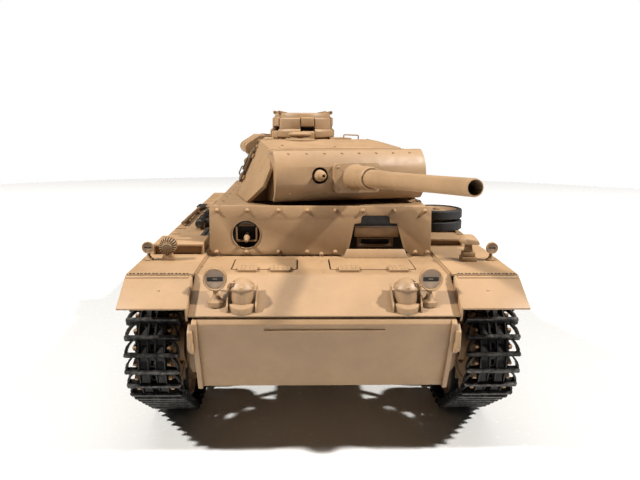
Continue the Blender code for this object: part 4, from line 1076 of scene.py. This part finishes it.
def brake_vent(name, side):
    """Inlet on the nose: rounded skirt between two ribs, drum, conical lid and its lever."""
    x, y = side * 36.9, 6.9
    ground = nose_z(y)
    skirt = [(x + 6.0, y + 6.5)] + [(x + 6.2 * c, y - 1.8 + 5.2 * s) for c, s in arc((0, 0), 1, 0, -180,
        15)]
    skirt.append((x - 6.0, y + 6.5))
    base = prism(skirt, ground - 6.5, ground + 0.6, "Z")
    for low, high in ((3.0, 24), (-24, -0.3)):
        block = [(x + a, y + b, nose_z(y + b) + c) for a in (-20, 20) for b in (-20, 20)
            for c in (low, high)]
        base = cut(base, hull(block))
    parts = [chamfer(base, 0.45)]
    for sign in (-1, 1):
        rib = [(y + b, nose_z(y + b) + c) for b, c in ((-5.6, 0.2), (-5.6, 3.0), (-3.2, 4.4), (6.2, 4.2),
            (6.8, 0.2))]
        parts.append(chamfer(prism(rib, *sorted((x + sign * 6.0, x + sign * 6.7))), 0.2))
    parts.append(turned([(0, -2), (5.0, -2), (5.1, 6.6), (5.9, 6.8), (5.9, 7.5), (5.6, 8.0), (4.3, 9.7),
        (2.8, 10.8), (1.3, 11.4), (0, 11.5)], 40, along_z(x, y + 0.4, ground)))
    for c, s in arc((0, 0), 1, 30, 330, 5):
        spot = facing((x + 5.2 * c, y + 0.4 + 5.2 * s, ground + 8.2), (c, s, 0.7))
        parts.append(turned([(0, -0.8), (0.9, -0.8), (0.9, 0.2), (0.5, 0.5), (0, 0.6)], 12, spot))
    lever = bend([(x + side * 3.4, y - 2.4, ground + 10.0), (x + side * 5.0, y - 3.6, ground + 10.2),
        (x + side * 5.9, y - 2.6, ground + 8.2), (x + side * 6.1, y - 2.4, ground + 6.4)], 0.6)
    parts.append(tube(lever, 0.5))
    parts.append(bolts([facing((x + side * 5.6, y - 3.0, ground + 9.0), (side, -1, 0.3))], 0.7, 0.6))
    put(f"inlet_{name}", parts, PAINT, "hull", hides=[f"brake_vent_{name}"])


def small_lamps():
    """Width lamps and the slatted horn, and the stepped convoy lamp."""
    for name, side in SIDES:
        (x0, x1), _, (_, top) = span(f"width_lamp_{name}")
        x, y, z = (x0 + x1) / 2 - (0.6 if side > 0 else 0), 47.0, top - 3.0
        parts = slot_lamp(x, y, z, 3.0, (3.6, 0.8))
        parts.append(turned([(0, 0), (2.5, 0), (2.5, 0.7), (1.6, 1.1), (0.8, 2.6), (0.7, 4.4), (1.3, 6.2),
            (0, 6.2)], 20, along_z(x, y + 0.8, FENDER_TOP - 0.1)))
        parts.append(bolts([along_z(x + d, y - 0.2, FENDER_TOP + 0.5) for d in (-1.7, 1.7)], 0.4, 0.4))
        put(f"marker_{name}", parts, (PAINT, LENS, FACE), "hull", hides=[f"width_lamp_{name}"])
    x, y, z = -77.6, 47.0, 85.9
    spot = along_y(x, y, z)
    # The bell inside the fins takes the near-black fill: painted shade.
    bell = turned([(0, -3.8), (2.6, -3.4), (4.0, -1.4), (4.15, 0.6), (3.6, 1.4), (0, 1.6)], 36, spot)
    parts = [tint(bell, 1)]
    for k in range(20):
        t = 2 * math.pi * k / 20
        c, s = math.cos(t), math.sin(t)
        fin = hull([(x + r * c + w * s, y - h, z + r * s - w * c) for r, h in ((1.6, 2.3), (3.6, 1.9),
            (4.25, 0.9), (4.3, -2.6), (3.6, -2.6), (1.6, 1.0)) for w in (-0.26, 0.26)])
        parts.append(fin)
    # The boss in the middle takes the shaded paint: painted shade.
    boss = turned([(0, 1), (2.5, 1), (2.5, 2.3), (2.0, 2.7), (0, 2.8)], 28, spot)
    bmesh.ops.scale(boss, vec=(1, 1, 0.62), space=Matrix.Translation((-x, -y, -z)), verts=boss.verts)
    parts.append(tint(boss, 2))
    parts.append(ring(3.9, 4.35, -3.2, -2.0, 36, spot))
    foot = hull([(x + a, y + b, c) for c, w in ((FENDER_TOP - 0.1, 3.4), (FENDER_TOP + 0.9, 3.4),
        (FENDER_TOP + 4.4, 1.5)) for a in (-w, w) for b in (-1.2, 2.4)])
    parts.append(chamfer(foot, 0.25))
    put("horn_grille", parts, (PAINT, SHADE_BLACK, SHADY), "hull", hides=["horn"])
    x, y, z = 74.8, 47.0, FENDER_TOP
    parts = [chamfer(box(about(x, 3.8), about(y, 3.4), (z - 0.1, z + 2.3)), 0.3),
        chamfer(box(about(x, 3.1), (y - 2.8, y + 2.9), (z + 2.2, z + 4.7)), 0.3),
        chamfer(hull([(x + a, y + b, c) for c, w in ((z + 4.4, 2.0), (z + 5.4, 1.35), (z + 9.4, 1.35))
        for a in (-w, w) for b in (-w, w)]), 0.25)]
    head = hull([(x + a, y + b, z + c) for a, b, c in ((-4.6, -1.6, 9.4), (-4.6, 3.2, 9.4),
        (5.0, -3.8, 8.9), (5.0, 3.2, 8.9), (-1.8, -3.8, 8.8), (-1.8, -3.6, 11.8), (-4.4, -0.8, 11.2),
        (-4.2, 3.2, 11.6), (4.2, -3.6, 10.9), (4.4, 3.2, 11.4), (-2.2, 0.4, 13.2), (-2.2, 3.2, 13.2),
        (2.6, 0.2, 13.0), (2.6, 3.2, 13.0))])
    parts.append(chamfer(head, 0.3))
    put("convoy_lamp", parts, PAINT, "hull", hides=["convoy_light"])


def fender_loads():
    """Boxes and spare wheels carried on the fenders, and a cable loop on the roof."""
    z = FENDER_TOP
    for name, x, y, top in (("right", (-88, -62), (60.5, 83.5), 84.2), ("left", (62, 81), (84.3, 103.5),
            82.6)):
        body = chamfer(box((x[0] + 0.8, x[1] - 0.8), (y[0] + 1.4, y[1]), (z - 0.2, top - 1.0)), 0.3)
        cover = chamfer(box(x, (y[0] - 1.0, y[1] + 0.3), (top - 1.3, top)), 0.3)
        cheeks = [chamfer(box((c, c + 1.0), (y[0], y[1]), (z - 0.2, top - 1.0)), 0.2)
            for c in (x[0], x[1] - 1.0)]
        put(f"fender_box_{name}", gather(body, cover, *cheeks), PAINT, "hull")
    (x0, x1), y, (z0, _) = span("spare_wheels")
    centre = ((x0 + x1) / 2, sum(y) / 2)
    spot = along_z(*centre, z0)
    r = (x1 - x0) / 2
    parts = []
    for low in (2.2, 9.2):
        parts.append(tint(turned([(r - 3.2, low), (r - 0.6, low), (r, low + 0.6), (r, low + 5.0),
            (r - 0.6, low + 5.6), (r - 3.2, low + 5.6), (r - 3.2, low)], 48, spot), 1))
    parts.append(turned([(0, 0), (6, 0), (6.2, 1.2), (r - 4, 2.0), (r - 3.1, 1.5), (r - 3.1, 6.4), (9, 5.6),
        (9, 9.4), (r - 3.1, 9.2), (r - 3.1, 14.3), (r - 4.2, 14.4), (r - 6.4, 12.6), (6.2, 11.6),
        (5.6, 12.2), (5.2, 13.4), (4.2, 13.9), (0, 13.9)], 44, spot))
    parts.append(bolts([along_z(*point, z0 + 11.9) for point in circle(centre, 7.6, 8)], 0.6, 0.5))
    parts.append(turned([(0, 13), (2.2, 13), (2.2, 14.6), (1.2, 15.2), (0, 15.2)], 6, spot))
    put("spare_pair", parts, (PAINT, RUBBER), "hull", hides=["spare_wheels"])
    rim = [(57.9 + 1.4 * c, 101 + 4.0 * s, ROOF_Z + 0.08) for c, s in arc((0, 0), 1, 0, 330, 22)]
    put("roof_cable_loop", tube(rim + [(58.8, 96, ROOF_Z + 0.08)], 0.36), IRON, "hull",
        angle=40)


def iron(name, parts, looks=IRON):
    """A tool, fixed to the hull."""
    put(name, parts, looks, "hull", angle=32)


def tools():
    """Tools, tow cables, the jack's block and the clamps on the fenders."""
    z = FENDER_TOP
    grips = [chamfer(box(about(x, 1.1), (76, 127), (z + 0.8, z + 2.8)), 0.4) for x in (-68.6, -65.2)]
    grips.append(chamfer(hull([(x, y, z + h) for x, y in ((-70.6, 76), (-63.2, 76), (-70.6, 84),
        (-63.2, 84), (-68, 91), (-65.8, 91)) for h in (0.6, 3.4)]), 0.4))
    iron("cutters", grips)
    spot = facing((-75, 131, z + 4.2), (0, 1, 0))
    barrel = [turned([(0, 0), (2.1, 0), (2.6, 0.7), (2.6, 38), (2.0, 39.4), (0.9, 40), (0.8, 42.4),
        (0, 42.6)], 24, spot)]
    barrel += [ring(2.55, 2.95, low, low + 1.4, 24, spot) for low in (5, 20, 33)]
    iron("starting_crank", barrel)
    block = [chamfer(box((-72.6, -67.4), (141, 149), (z, z + 5.6)), 0.5)]
    iron("jack_head", block)
    rod_wood = [tint(between((-71.6, 150, z + 9.0), (-71.6, 196, z + 9.4), 1.3), 1),
        between((-71.6, 144, z + 9.0), (-71.6, 150.4, z + 9.0), 1.7),
        chamfer(box((-73, -70.2), (152, 154.4), (z, z + 8.4)), 0.3), chamfer(box((-73, -70.2), (188, 190.4),
        (z, z + 8.6)), 0.3)]
    iron("hammer", rod_wood, (IRON, WOOD))
    stand = [chamfer(box((-65.4, -62.6), (202, 214), (z, z + 14.5)), 0.4), between((-64, 208, z + 11.5),
        (-59.5, 208, z + 11.5), 1.2), between((-66.6, 208, z + 6.5), (-64.5, 208, z + 6.5), 2.6)]
    iron("pulley_bracket", stand)
    spade = [tint(between((-87.6, 146, z + 2.2), (-87.6, 214, z + 2.2), 1.25), 1),
        hull([(-87.6 + a, y, z + c) for a, y in ((-1.4, 214), (1.4, 214), (-3.2, 222), (3.2, 222),
        (-3.0, 236), (3.0, 236)) for c in (1.6, 2.5)])]
    iron("spade", spade, (IRON, WOOD))
    axe = [tint(between((86.6, 176, z + 2.4), (86.6, 226, z + 2.4), 1.2), 1),
        hull([(86.6 + a, y, z + c) for a, y in ((-1.6, 222), (1.6, 222), (-4.6, 226), (1.6, 228),
        (-4.6, 232)) for c in (1.4, 3.4)])]
    iron("axe", axe, (IRON, WOOD))
    bar = [tube(bend([(66.5, 166, z + 2), (66.5, 250, z + 2), (70, 256, z + 2)], 3), 1.0)]
    iron("crowbar", bar)
    for name, side in SIDES:
        cable = [(side * 64.5, 226 + 7 * k, z + 2.0 + 0.5 * math.sin(k * 1.7)) for k in range(13)]
        loops = [tube(cable, 0.9)]
        for end in (cable[0], cable[-1]):
            centre = Vector(end) + Vector((0, -3.4 if end is cable[0] else 3.4, 0))
            eye = [centre + Vector((2.6 * s, 2.6 * c, 0)) for c, s in arc((0, 0), 1, 0, 360, 18)]
            loops.append(tube(eye, 0.8))
        iron(f"tow_cable_{name}", loops)
    clamps = [(-75, 138), (-75, 162), (-67, 108), (-87.6, 160), (-87.6, 200), (86.6, 190), (86.6, 212),
        (66.5, 180), (66.5, 240)]
    straps = [chamfer(box(about(x, 2.6), about(y, 0.9), (z - 0.1, z + 1.6)), 0.2) for x, y in clamps]
    block = chamfer(box((66, 84), (262, 284), (z, z + 7)), 0.6)
    put("jack_block", block, WOOD, "hull")
    straps += [chamfer(box((65.4, 84.6), (y, y + 2), (z - 0.1, z + 7.6)), 0.2) for y in (266, 278)]
    put("tool_clamps", straps, PAINT, "hull")


def exhaust():
    """Silencer across the tail with two pipes."""
    y, z, r = span("exhaust_muffler")[1][1] - 6.6, 60.5, 6.6
    parts = [turned([(0, -36), (4.6, -36), (6.0, -35.4), (r, -34.0), (r, -20), (r + 0.35, -19.6),
        (r + 0.35, -17.6), (r, -17.2), (r, 17.2), (r + 0.35, 17.6), (r + 0.35, 19.6), (r, 20), (r, 34),
        (6.0, 35.4), (4.6, 36), (0, 36)], 32, along_x(0, y, z))]
    for x in (-22, 22):
        parts.append(chamfer(box(about(x, 2.6), (322.3, y), about(z, 1.6)), 0.3))
        parts.append(tube(bend([(x * 1.4, y, z + 4), (x * 1.4, y, z + 9), (x * 1.4, y - 6.5, z + 12.5)],
            2.5), 2.0, 14))
    # The silencer and its pipes take the shaded paint: painted shade.
    put("exhaust", parts, SHADY, "hull", hides=["exhaust_muffler"])


def inside():
    """Looks of the CAD parts inside, which are shown as they are."""
    for name, look in (("drive_gearboxes", CAN), ("turret_motor", CAN), ("battery_pack", CELLS),
            ("control_board", BOARD)):
        NODES[name].data.materials.clear()
        NODES[name].data.materials.append(look)


def build_hull():
    lower_hull()
    glacis_fittings()
    armour_plate()
    machine_gun()
    visor()
    upper_hull()
    engine_hatches()
    for name, side in SIDES:
        fender(name, side)
        front_flap(name, side)
        headlight(name, side)
        brake_vent(name, side)
    small_lamps()
    fender_loads()
    tools()
    exhaust()
    inside()


# ---------------------------------------------------------------- turret
SHELL_LOW = 102.3
SIDE_LEAN = 0.461
BEND_Y, SIDE_TAPER = -8.0, 0.2
NORMAL = Vector((1, 0, SIDE_LEAN)).normalized()
CUPOLA_Y = 38.5


def side_x(y, z):
    """Half width of the turret; behind the bend the walls also run inwards."""
    return 53.5 - SIDE_LEAN * (z - SHELL_LOW) - SIDE_TAPER * max(0.0, y - BEND_Y)


def on_side(side, y, z, off=0.0):
    """Point on a turret wall, or off it by a distance."""
    point = Vector((side_x(y, z), y, z)) + NORMAL * off
    return Vector((side * point.x, point.y, point.z))


def slab(side, outline, low, high):
    """A plate lying on a turret wall; outline is (y, z)."""
    return loft([on_side(side, y, z, off) for y, z in outline] for off in (low, high))


def turret_shell():
    """Walls, cheeks, roof, bulkhead and ring with bolts, ventilator, handle and ports."""
    rows = [(-42, SHELL_LOW), (-42, 132.0), (-40, 132.3), (BEND_Y, SHELL_LOW), (BEND_Y, 134.5), (3, 135.3),
        (59, SHELL_LOW), (57, 134.3)]
    body = hull([(sign * side_x(y, z), y, z) for y, z in rows for sign in (-1, 1)])
    body = cut(body, rod(along_z(0, 0, 0), 40, 90, 104, 48), rod(along_z(0, CUPOLA_Y, 0), 15.8, 120, 140,
        40), prism([(3, 135.3), (16, 133.6), (75, 133.6), (75, 150), (3, 150)], -60, 60))
    parts = [chamfer(body, 0.35, angle=6)]
    for _, side in SIDES:
        out = on_side(side, 0, 0, 1) - on_side(side, 0, 0)
        cheek = [(-41, SHELL_LOW), (-42, SHELL_LOW), (-64, 113.5), (-62, 122.8), (-40, 132.2), (-39, 132.4)]
        parts.append(chamfer(slab(side, cheek, -2.0, 0.05), 0.25))
        parts.append(bolts([facing(on_side(side, y, z), out) for y, z in ((-46, 120), (-41, 129.8),
            (-44, 128.4))], 0.45, 0.4, 8))
    front = box((-41.5, 41.5), (-43.6, -41.6), (103, 131.6))
    parts.append(chamfer(front, 0.4))
    parts.append(ring(40.5, 45.3, 97.2, SHELL_LOW + 0.2, 72, along_z(0, 0, 0)))
    screws = [(-33.5, -37, 132.3), (-30, -30, 133.2), (33.5, -37, 132.3), (-34, 0, 135.0), (34, 0, 135.0),
        (0, -37, 132.5)]
    parts.append(bolts([along_z(x, y, z) for x, y, z in screws], 0.75, 0.6))
    parts.append(bolts([along_z(x, y, 133.6) for x in (-32, 32) for y in (18, 33, 48)], 0.75, 0.6))
    parts.append(turned([(0, -1), (9.6, -1), (9.6, 0.5), (9.0, 0.9), (6.6, 1.0), (6.2, 1.4), (6.2, 2.4),
        (7.1, 2.7), (7.5, 3.2), (7.4, 4.0), (6.6, 4.6), (4.4, 5.0), (0, 5.2)], 44, along_z(-11.4, 1.0,
        135.1)))
    parts.append(bolts([along_z(*point, 136.0) for point in arc((-11.4, 1), 8.0, 22.5, 337.5, 7)], 0.55,
        0.4))
    parts.append(tube(bend([(19.4, 5.5, 134), (19.4, 5.5, 138.2), (29.6, 5.5, 137.8), (29.6, 5.5, 134)],
        0.8), 0.42))
    parts.append(chamfer(hull([(x, y, z) for x, z in ((13.6, 133.2), (26.5, 133.2), (14.2, 135.9),
        (26, 135.9)) for y in (9, 24)]), 0.3))
    parts.append(turned([(0, -1), (3.6, -1), (3.6, 1.6), (2.8, 2.4), (0, 2.6)], 24, along_z(-29.5, 12,
        134.0)))
    for x in (-20, 20):
        spot = facing((x, 58.2, 118), (0, 1, 0.06))
        parts.append(turned([(0, -1), (5.2, -1), (5.2, 1.0), (4.4, 1.7), (1.9, 2.0), (1.9, 2.8), (0, 3.0)],
            28, spot))
    parts.append(bolts([facing((x, 58.95, 104.4), (0, 1, 0.06)) for x in range(-32, 33, 8)], 0.6, 0.5))
    put("turret_plates", parts, (PAINT, SHADE_BLACK), "turret", TURRET, hides=["turret_shell"], angle=20)


def side_hatches():
    """Wall doors and their frames."""
    for name, side in SIDES:
        body = f"side_hatch_{name}"
        outer = on_side(side, 0, 0, 1) - on_side(side, 0, 0)
        # The door and its fittings take the shaded paint: painted shade.
        door = rounded((-5.6, 20.0), (109, 129), 1.6)
        parts = [chamfer(slab(side, door, 0.35, 2.6), 0.5)]
        flap = rounded((0.5, 9.5), (115.5, 124.5), 1.0)
        parts.append(chamfer(slab(side, flap, 2.4, 3.7), 0.35))
        # The slit is a near-black strip: painted shade.
        slit = rounded((2.0, 8.0), (119.6, 120.8), 0.3)
        parts.append(tint(slab(side, slit, 3.3, 3.78), 1))
        parts.append(turned([(0, 0), (2.7, 0), (2.2, 1.5), (0.8, 2.3), (0, 2.4)], 20,
            facing(on_side(side, 14.6, 120, 2.3), outer)))
        for z in (112.4, 125.6):
            strap = rounded((-6.6, 0.0), about(z, 1.3), 0.6)
            parts.append(chamfer(slab(side, strap, 2.3, 3.3), 0.25))
            parts.append(bolts([facing(on_side(side, y, z, 3.2), outer) for y in (-3.6, -1.4)], 0.5, 0.4,
                8))
            parts.append(between(on_side(side, -6.4, z - 2.2, 2.0), on_side(side, -6.4, z + 2.2, 2.0), 1.1))
        grip = bend([on_side(side, 17.6, 111, 2.3), on_side(side, 17.6, 111, 4.4), on_side(side, 17.6, 116,
            4.4), on_side(side, 17.6, 116, 2.3)], 1.0)
        parts.append(tube(grip, 0.45))
        put(f"wall_door_{name}", parts, (SHADY, SHADE_BLACK), body, TURRET, hides=[body])
        frame_parts = []
        for z in (112.4, 125.6):
            fixed = rounded((-10.6, -8.6), about(z, 1.2), 0.5)
            frame_parts.append(chamfer(slab(side, fixed, -0.3, 1.5), 0.25))
        rain = [(-6, 130.2), (21, 130.2), (21, 131.1), (-6, 131.1)]
        frame_parts.append(chamfer(slab(side, rain, -0.3, 1.4), 0.3))
        put(f"door_frame_{name}", frame_parts, PAINT, "turret", TURRET)


def stowage_bin():
    """Bin with sloping shoulders, round ends, a lid seam, hinges and straps."""
    y0, y1, z0, z1 = 61.4, 82.0, 117.0, 136.4
    half = [(26.0, z1)] + arc((33.6, 128.8), 2.6, 62, 50, 2) + arc((32.8, 127.2), 4.2, 40, -80,
        10) + [(27.5, z0)]
    outline = half + [(-x, z) for x, z in reversed(half)]
    parts = [chamfer(prism(outline, y0, y1, "Y"), 1.3, 4, 30)]
    seam = [(x * 1.008, z + 0.25) for x, z in half if z > 126]
    seam = seam + [(x - 1.2, z - 1.2) for x, z in reversed(half) if z > 126]
    for sign in (-1, 1):
        for y in (y0 + 2.2, y1 - 3.4):
            parts.append(chamfer(prism([(sign * x, z) for x, z in seam], y, y + 1.2, "Y"), 0.15))
    for dx in (-20, 0, 20):
        parts.append(chamfer(box(about(dx, 2.4), (y1 - 0.8, y1 + 0.7), (z1 - 9, z1 - 3)), 0.3))
        parts.append(chamfer(box(about(dx, 1.3), (y0 + 1, y1 - 1.5), (z1 - 0.2, z1 + 0.4)), 0.2))
        parts.append(rod(lambda a, b, h, dx=dx: (dx + h, y0 + 1.2 + a, z1 + b * 0.8), 0.8, -2.2, 2.2, 10))
    parts.append(chamfer(box((-31, 31), (y1 - 0.4, y1 + 0.25), (z1 - 6.2, z1 - 5.6)), 0.1))
    for dx in (-24, 24):
        parts.append(chamfer(box(about(dx, 2), (56.5, y0 + 1), (z0 + 1, z0 + 5)), 0.3))
    put("rear_bin", parts, PAINT, "turret", TURRET, hides=["stowage_bin"])


CUPOLA_TURN = math.radians(-5)


def cupola_plate(start, end, low, high, inner, outer, taper=1.0):
    """A curved armour segment; angles in degrees from the cupola's own front."""
    steps = max(2, round((end - start) / 4))
    section = [(inner, low), (outer, low + taper), (outer, high - taper), (outer - 1.3, high),
        (inner, high)]
    angles = [math.radians(start + (end - start) * i / steps - 90) + CUPOLA_TURN for i in range(steps + 1)]
    return loft([(r * math.cos(t), CUPOLA_Y + r * math.sin(t), z) for r, z in section] for t in angles)


def half_disc(side, gap, straight, radius, reach):
    """Outline of a cupola leaf, or of its raised middle."""
    edge = [(gap, -straight)] + arc((0, 0), radius, -reach, reach, reach // 4) + [(gap, straight)]
    return [(side * x, CUPOLA_Y + y) for x, y in edge]


def cupola():
    """Armoured ring with five vision blocks and a slit all round, and its two leaves."""
    spot = along_z(0, CUPOLA_Y, 0)
    slit_low, slit_high = 140.1, 142.9
    core = turned([(15.6, 133.7), (21.6, 133.7), (21.6, 134.5), (19.6, 135.2), (19.6, slit_low),
        (17.6, slit_low + 0.1), (17.6, slit_high - 0.1), (19.4, slit_high), (19.4, 149.4), (18.6, 151.5),
        (18.1, 151.9), (17.5, 151.9), (17.4, 150.2), (15.6, 149.9), (15.6, 133.7)], 72, spot)
    # The recessed slit all round takes the near-black fill: painted shade.
    for face in core.faces:
        middle = face.calc_center_median()
        reach = math.hypot(middle.x, middle.y - CUPOLA_Y)
        face.material_index = 1 if slit_low - 0.1 < middle.z < slit_high + 0.1 and reach < 19.6 else 0
    parts = [core]
    for k in range(5):
        mid = 72 * k
        parts.append(chamfer(cupola_plate(mid + 13.4, mid + 58.6, 134.8, 141.6, 18.2, 22.3, 1.4), 0.4))
        parts.append(chamfer(cupola_plate(mid + 13.6, mid + 58.4, 141.0, 148.9, 18.2, 20.8, 0.6), 0.4))
        parts.append(chamfer(cupola_plate(mid - 12.2, mid + 12.2, slit_high, 149.2, 18.0, 21.0, 0.5), 0.25))
        parts.append(chamfer(cupola_plate(mid - 12.2, mid + 12.2, 134.8, slit_low, 18.0, 21.9, 0.6), 0.25))
    parts.append(bolts([along_z(*point, 133.6) for point in arc((0, CUPOLA_Y), 22.6, 12, 348, 14)], 0.6,
        0.5))
    put("cupola_ring", parts, (PAINT, SHADE_BLACK), "turret", TURRET, hides=["cupola"])
    for name, side in SIDES:
        body = f"cupola_hatch_{name}"
        half = half_disc(side, 0.3, 17.1, 17.1, 88)
        rim = half_disc(side, 1.6, 13.6, 13.8, 80)
        pieces = [chamfer(prism(half, 150.25, 151.7, "Z"), 0.3), chamfer(prism(rim, 151.5, 152.1, "Z"),
            0.3)]
        for dy in (-7.2, 7.2):
            y = CUPOLA_Y + dy
            pieces.append(rod(lambda a, b, h, y=y: (side * 18.2 + a, y + h, 152.4 + b), 1.05, -0.9, 0.9,
                12))
            pieces.append(chamfer(hull([(side * x, y + b, z) for x, z in ((18.8, 151.0), (18.9, 152.9),
                (16.9, 153.2), (12.5, 152.2), (12.5, 151.5)) for b in (-0.9, 0.9)]), 0.2))
            pieces.append(bolts([along_z(side * 13.4, y, 152.1)], 0.5, 0.4))
        put(f"cupola_leaf_{name}", pieces, PAINT, body, TURRET, hides=[body])


# ---------------------------------------------------------------- gun
SHIELD_Y, SHIELD_Z, SHIELD_R = -11.8, 1.3, 16.3         # the shield's axis and radius
COAXIAL = along_y(-18.8, 0, SHIELD_Z - 0.1)


def shield_point(angle, off=0.0):
    """Point (y, z) on the shield's face."""
    t = math.radians(angle)
    return SHIELD_Y + (SHIELD_R + off) * math.cos(t), SHIELD_Z + (SHIELD_R + off) * math.sin(t)


def gun_shield():
    """Curved shield with its trunnion drum, sleeve and coaxial gun."""
    centre = (SHIELD_Y, SHIELD_Z)
    skin = arc(centre, SHIELD_R, 122, 238, 36) + arc(centre, SHIELD_R - 1.8, 238, 122, 36)
    plate = prism(skin, -42.9, 42.9)
    plate = cut(plate, rod(COAXIAL, 4.5, 10, 40, 40))
    parts = [chamfer(plate, 0.3)]
    for sign in (-1, 1):
        end = arc(centre, SHIELD_R - 0.4, 122, 238, 36) + [(SHIELD_Y + 8, -13), (SHIELD_Y + 8, 14)]
        parts.append(chamfer(prism(end, *pair(sign, 40.6, 42.2)), 0.2))
    parts.append(chamfer(box((-42.6, 42.6), (-21.2, -8), (13.5, 15.0)), 0.2))
    parts.append(rod(along_x(0, 0, 0), 11.4, -36, 36, 40))
    for angle in (134, 216):
        y, z = shield_point(angle)
        t = math.radians(angle)
        spots = [facing((x, y, z), (0, math.cos(t), math.sin(t))) for x in range(-35, 36, 10)]
        parts.append(bolts(spots, 0.62, 0.55, 8))
    parts.append(chamfer(prism(rounded((-11.8, 14.2), (-8.4, 7.8), 2.6, 5), -31.0, -20, "Y"), 0.35))
    for x, z in ((-9.4, 5.6), (-9.4, -6.4), (11.8, 5.6), (11.8, -6.4)):
        parts.append(turned([(0, -0.3), (0.85, -0.3), (0.7, 0.2), (0.25, 0.75), (0, 0.8)], 10,
            along_y(x, -30.9, z)))
    parts.append(turned([(0, 20), (7.2, 20), (7.2, 31.2), (6.7, 31.6), (6.5, 33.4), (6.1, 50.6),
        (5.75, 50.9), (5.75, 51.3), (6.05, 51.6), (5.95, 55.5), (5.6, 56.0), (5.0, 56.0), (5.0, 50),
        (0, 50)], 56, along_y(0, 0, 0)))
    put("mantlet", parts, PAINT, "gun", GUN, hides=["gun_shield"])
    # A near-black disc deep in the coaxial gun's hole: painted shade.
    well = turned([(4.4, 27.0), (4.45, 24), (0, 24)], 40, COAXIAL)
    put("coaxial_well", well, SHADE_BLACK, "gun", GUN)
    coax = turned([(0, 22), (3.1, 22), (3.2, 27.6), (2.9, 29.8), (2.1, 31.2), (1.7, 31.4), (1.7, 34.4),
        (1.3, 35.2), (0.8, 35.3), (0.7, 33), (0, 33)], 28, COAXIAL)
    put("coaxial_gun", coax, PAINT, "gun", GUN)


def gun_barrel():
    """Stepped tube with a dark bore."""
    profile = [(0, 46), (4.65, 46), (4.65, 58), (4.5, 68), (4.0, 80), (3.75, 104), (3.5, 128), (3.4, 150),
        (3.38, 158.0), (3.2, 158.8), (2.95, 158.9), (2.75, 158.5), (2.65, 140), (0, 140)]
    barrel = turned(profile, 56, along_y(0, 0, 0))
    # The bore takes the shaded paint: painted shade.
    for face in barrel.faces:
        middle = face.calc_center_median()
        if middle.y > -158.3 and math.hypot(middle.x, middle.z) < 2.8:
            face.material_index = 1
    put("barrel_tube", barrel, (PAINT, SHADY), "barrel", GUN, hides=["gun_barrel"])


def build_turret():
    turret_shell()
    side_hatches()
    stowage_bin()
    cupola()
    gun_shield()
    gun_barrel()


# ---------------------------------------------------------------- studio
CAMERA_AT = (-0.01091, -0.416478, 0.16146)              # metres
CAMERA_YAW, CAMERA_PITCH, CAMERA_ROLL = -0.03092, -0.19377, 0.00767
CAMERA_LENS = 36.3697                                   # mm on a 36 mm sensor


def floor():
    bm = bmesh.new()
    bmesh.ops.create_circle(bm, cap_ends=True, segments=96, radius=1.25)
    mesh = settle("studio_floor", bm)
    item = add_object("studio_floor", mesh)
    made, tree, shader = new_material("studio_floor")
    place = node(tree, "ShaderNodeTexCoord").outputs["Object"]
    colour = ramp(tree, noise(tree, place, 2.0), [(0.2, (0.97, 0.96, 0.95)), (0.8, (1.0, 0.99, 0.98))])
    reach = node(tree, "ShaderNodeVectorMath", [(0, place)], operation="LENGTH").outputs["Value"]
    sweep = ramp(tree, reach, [(0.35, (0.63, 0.645, 0.66)), (0.75, (0.84, 0.86, 0.89))])
    colour = mixed(tree, "MULTIPLY", 1.0, colour, sweep)
    finish_shader(tree, shader, place, colour, (0.24, 0.28), [(60.0, 0.02, 0.0002)])
    shader.inputs["Specular IOR Level"].default_value = 0.35
    mesh.materials.append(made)


def lamp(name, spot, aim, size, power, colour=(1.0, 0.96, 0.90)):
    """A round soft light that looks at a point."""
    data = bpy.data.lights.new(name, "AREA")
    data.shape = "DISK"
    data.size = size
    data.energy = power
    data.color = colour
    item = add_object(name, data)
    item.location = spot
    item.rotation_euler = (Vector(aim) - Vector(spot)).to_track_quat("-Z", "Y").to_euler()


def studio():
    floor()
    for name, side in SIDES:
        lamp(f"key_{name}", (side * 1.5, -0.52, 1.55), (0, -0.05, 0.06), 0.13, 77)
    lamp("overhead", (0.0, 0.5, 2.4), (0, 0.2, 0), 3.0, 48, (1.0, 0.985, 0.96))
    world = bpy.data.worlds.new("studio")
    bpy.context.scene.world = world
    world.use_nodes = True
    tree = world.node_tree
    tree.nodes.clear()
    seen = node(tree, "ShaderNodeBackground", Color=(1, 1, 1, 1), Strength=1.0)
    light = node(tree, "ShaderNodeBackground", Color=(1.0, 0.96, 0.92, 1), Strength=0.04)
    path = node(tree, "ShaderNodeLightPath")
    blend = node(tree, "ShaderNodeMixShader", [(0, path.outputs["Is Camera Ray"]), (1, light.outputs[0]),
        (2, seen.outputs[0])])
    node(tree, "ShaderNodeOutputWorld", [("Surface", blend.outputs[0])])
    scene = bpy.context.scene
    scene.view_settings.view_transform = "Standard"
    data = bpy.data.cameras.new("camera")
    data.sensor_width = 36
    data.lens = CAMERA_LENS
    camera = add_object("camera", data)
    camera.location = CAMERA_AT
    turn = Matrix.Rotation(CAMERA_YAW, 4, "Z") @ Matrix.Rotation(math.pi / 2 + CAMERA_PITCH, 4, "X")
    turn @= Matrix.Rotation(CAMERA_ROLL, 4, "Z")
    camera.rotation_euler = turn.to_euler()
    scene.camera = camera


build_running_gear()
build_hull()
build_turret()
studio()
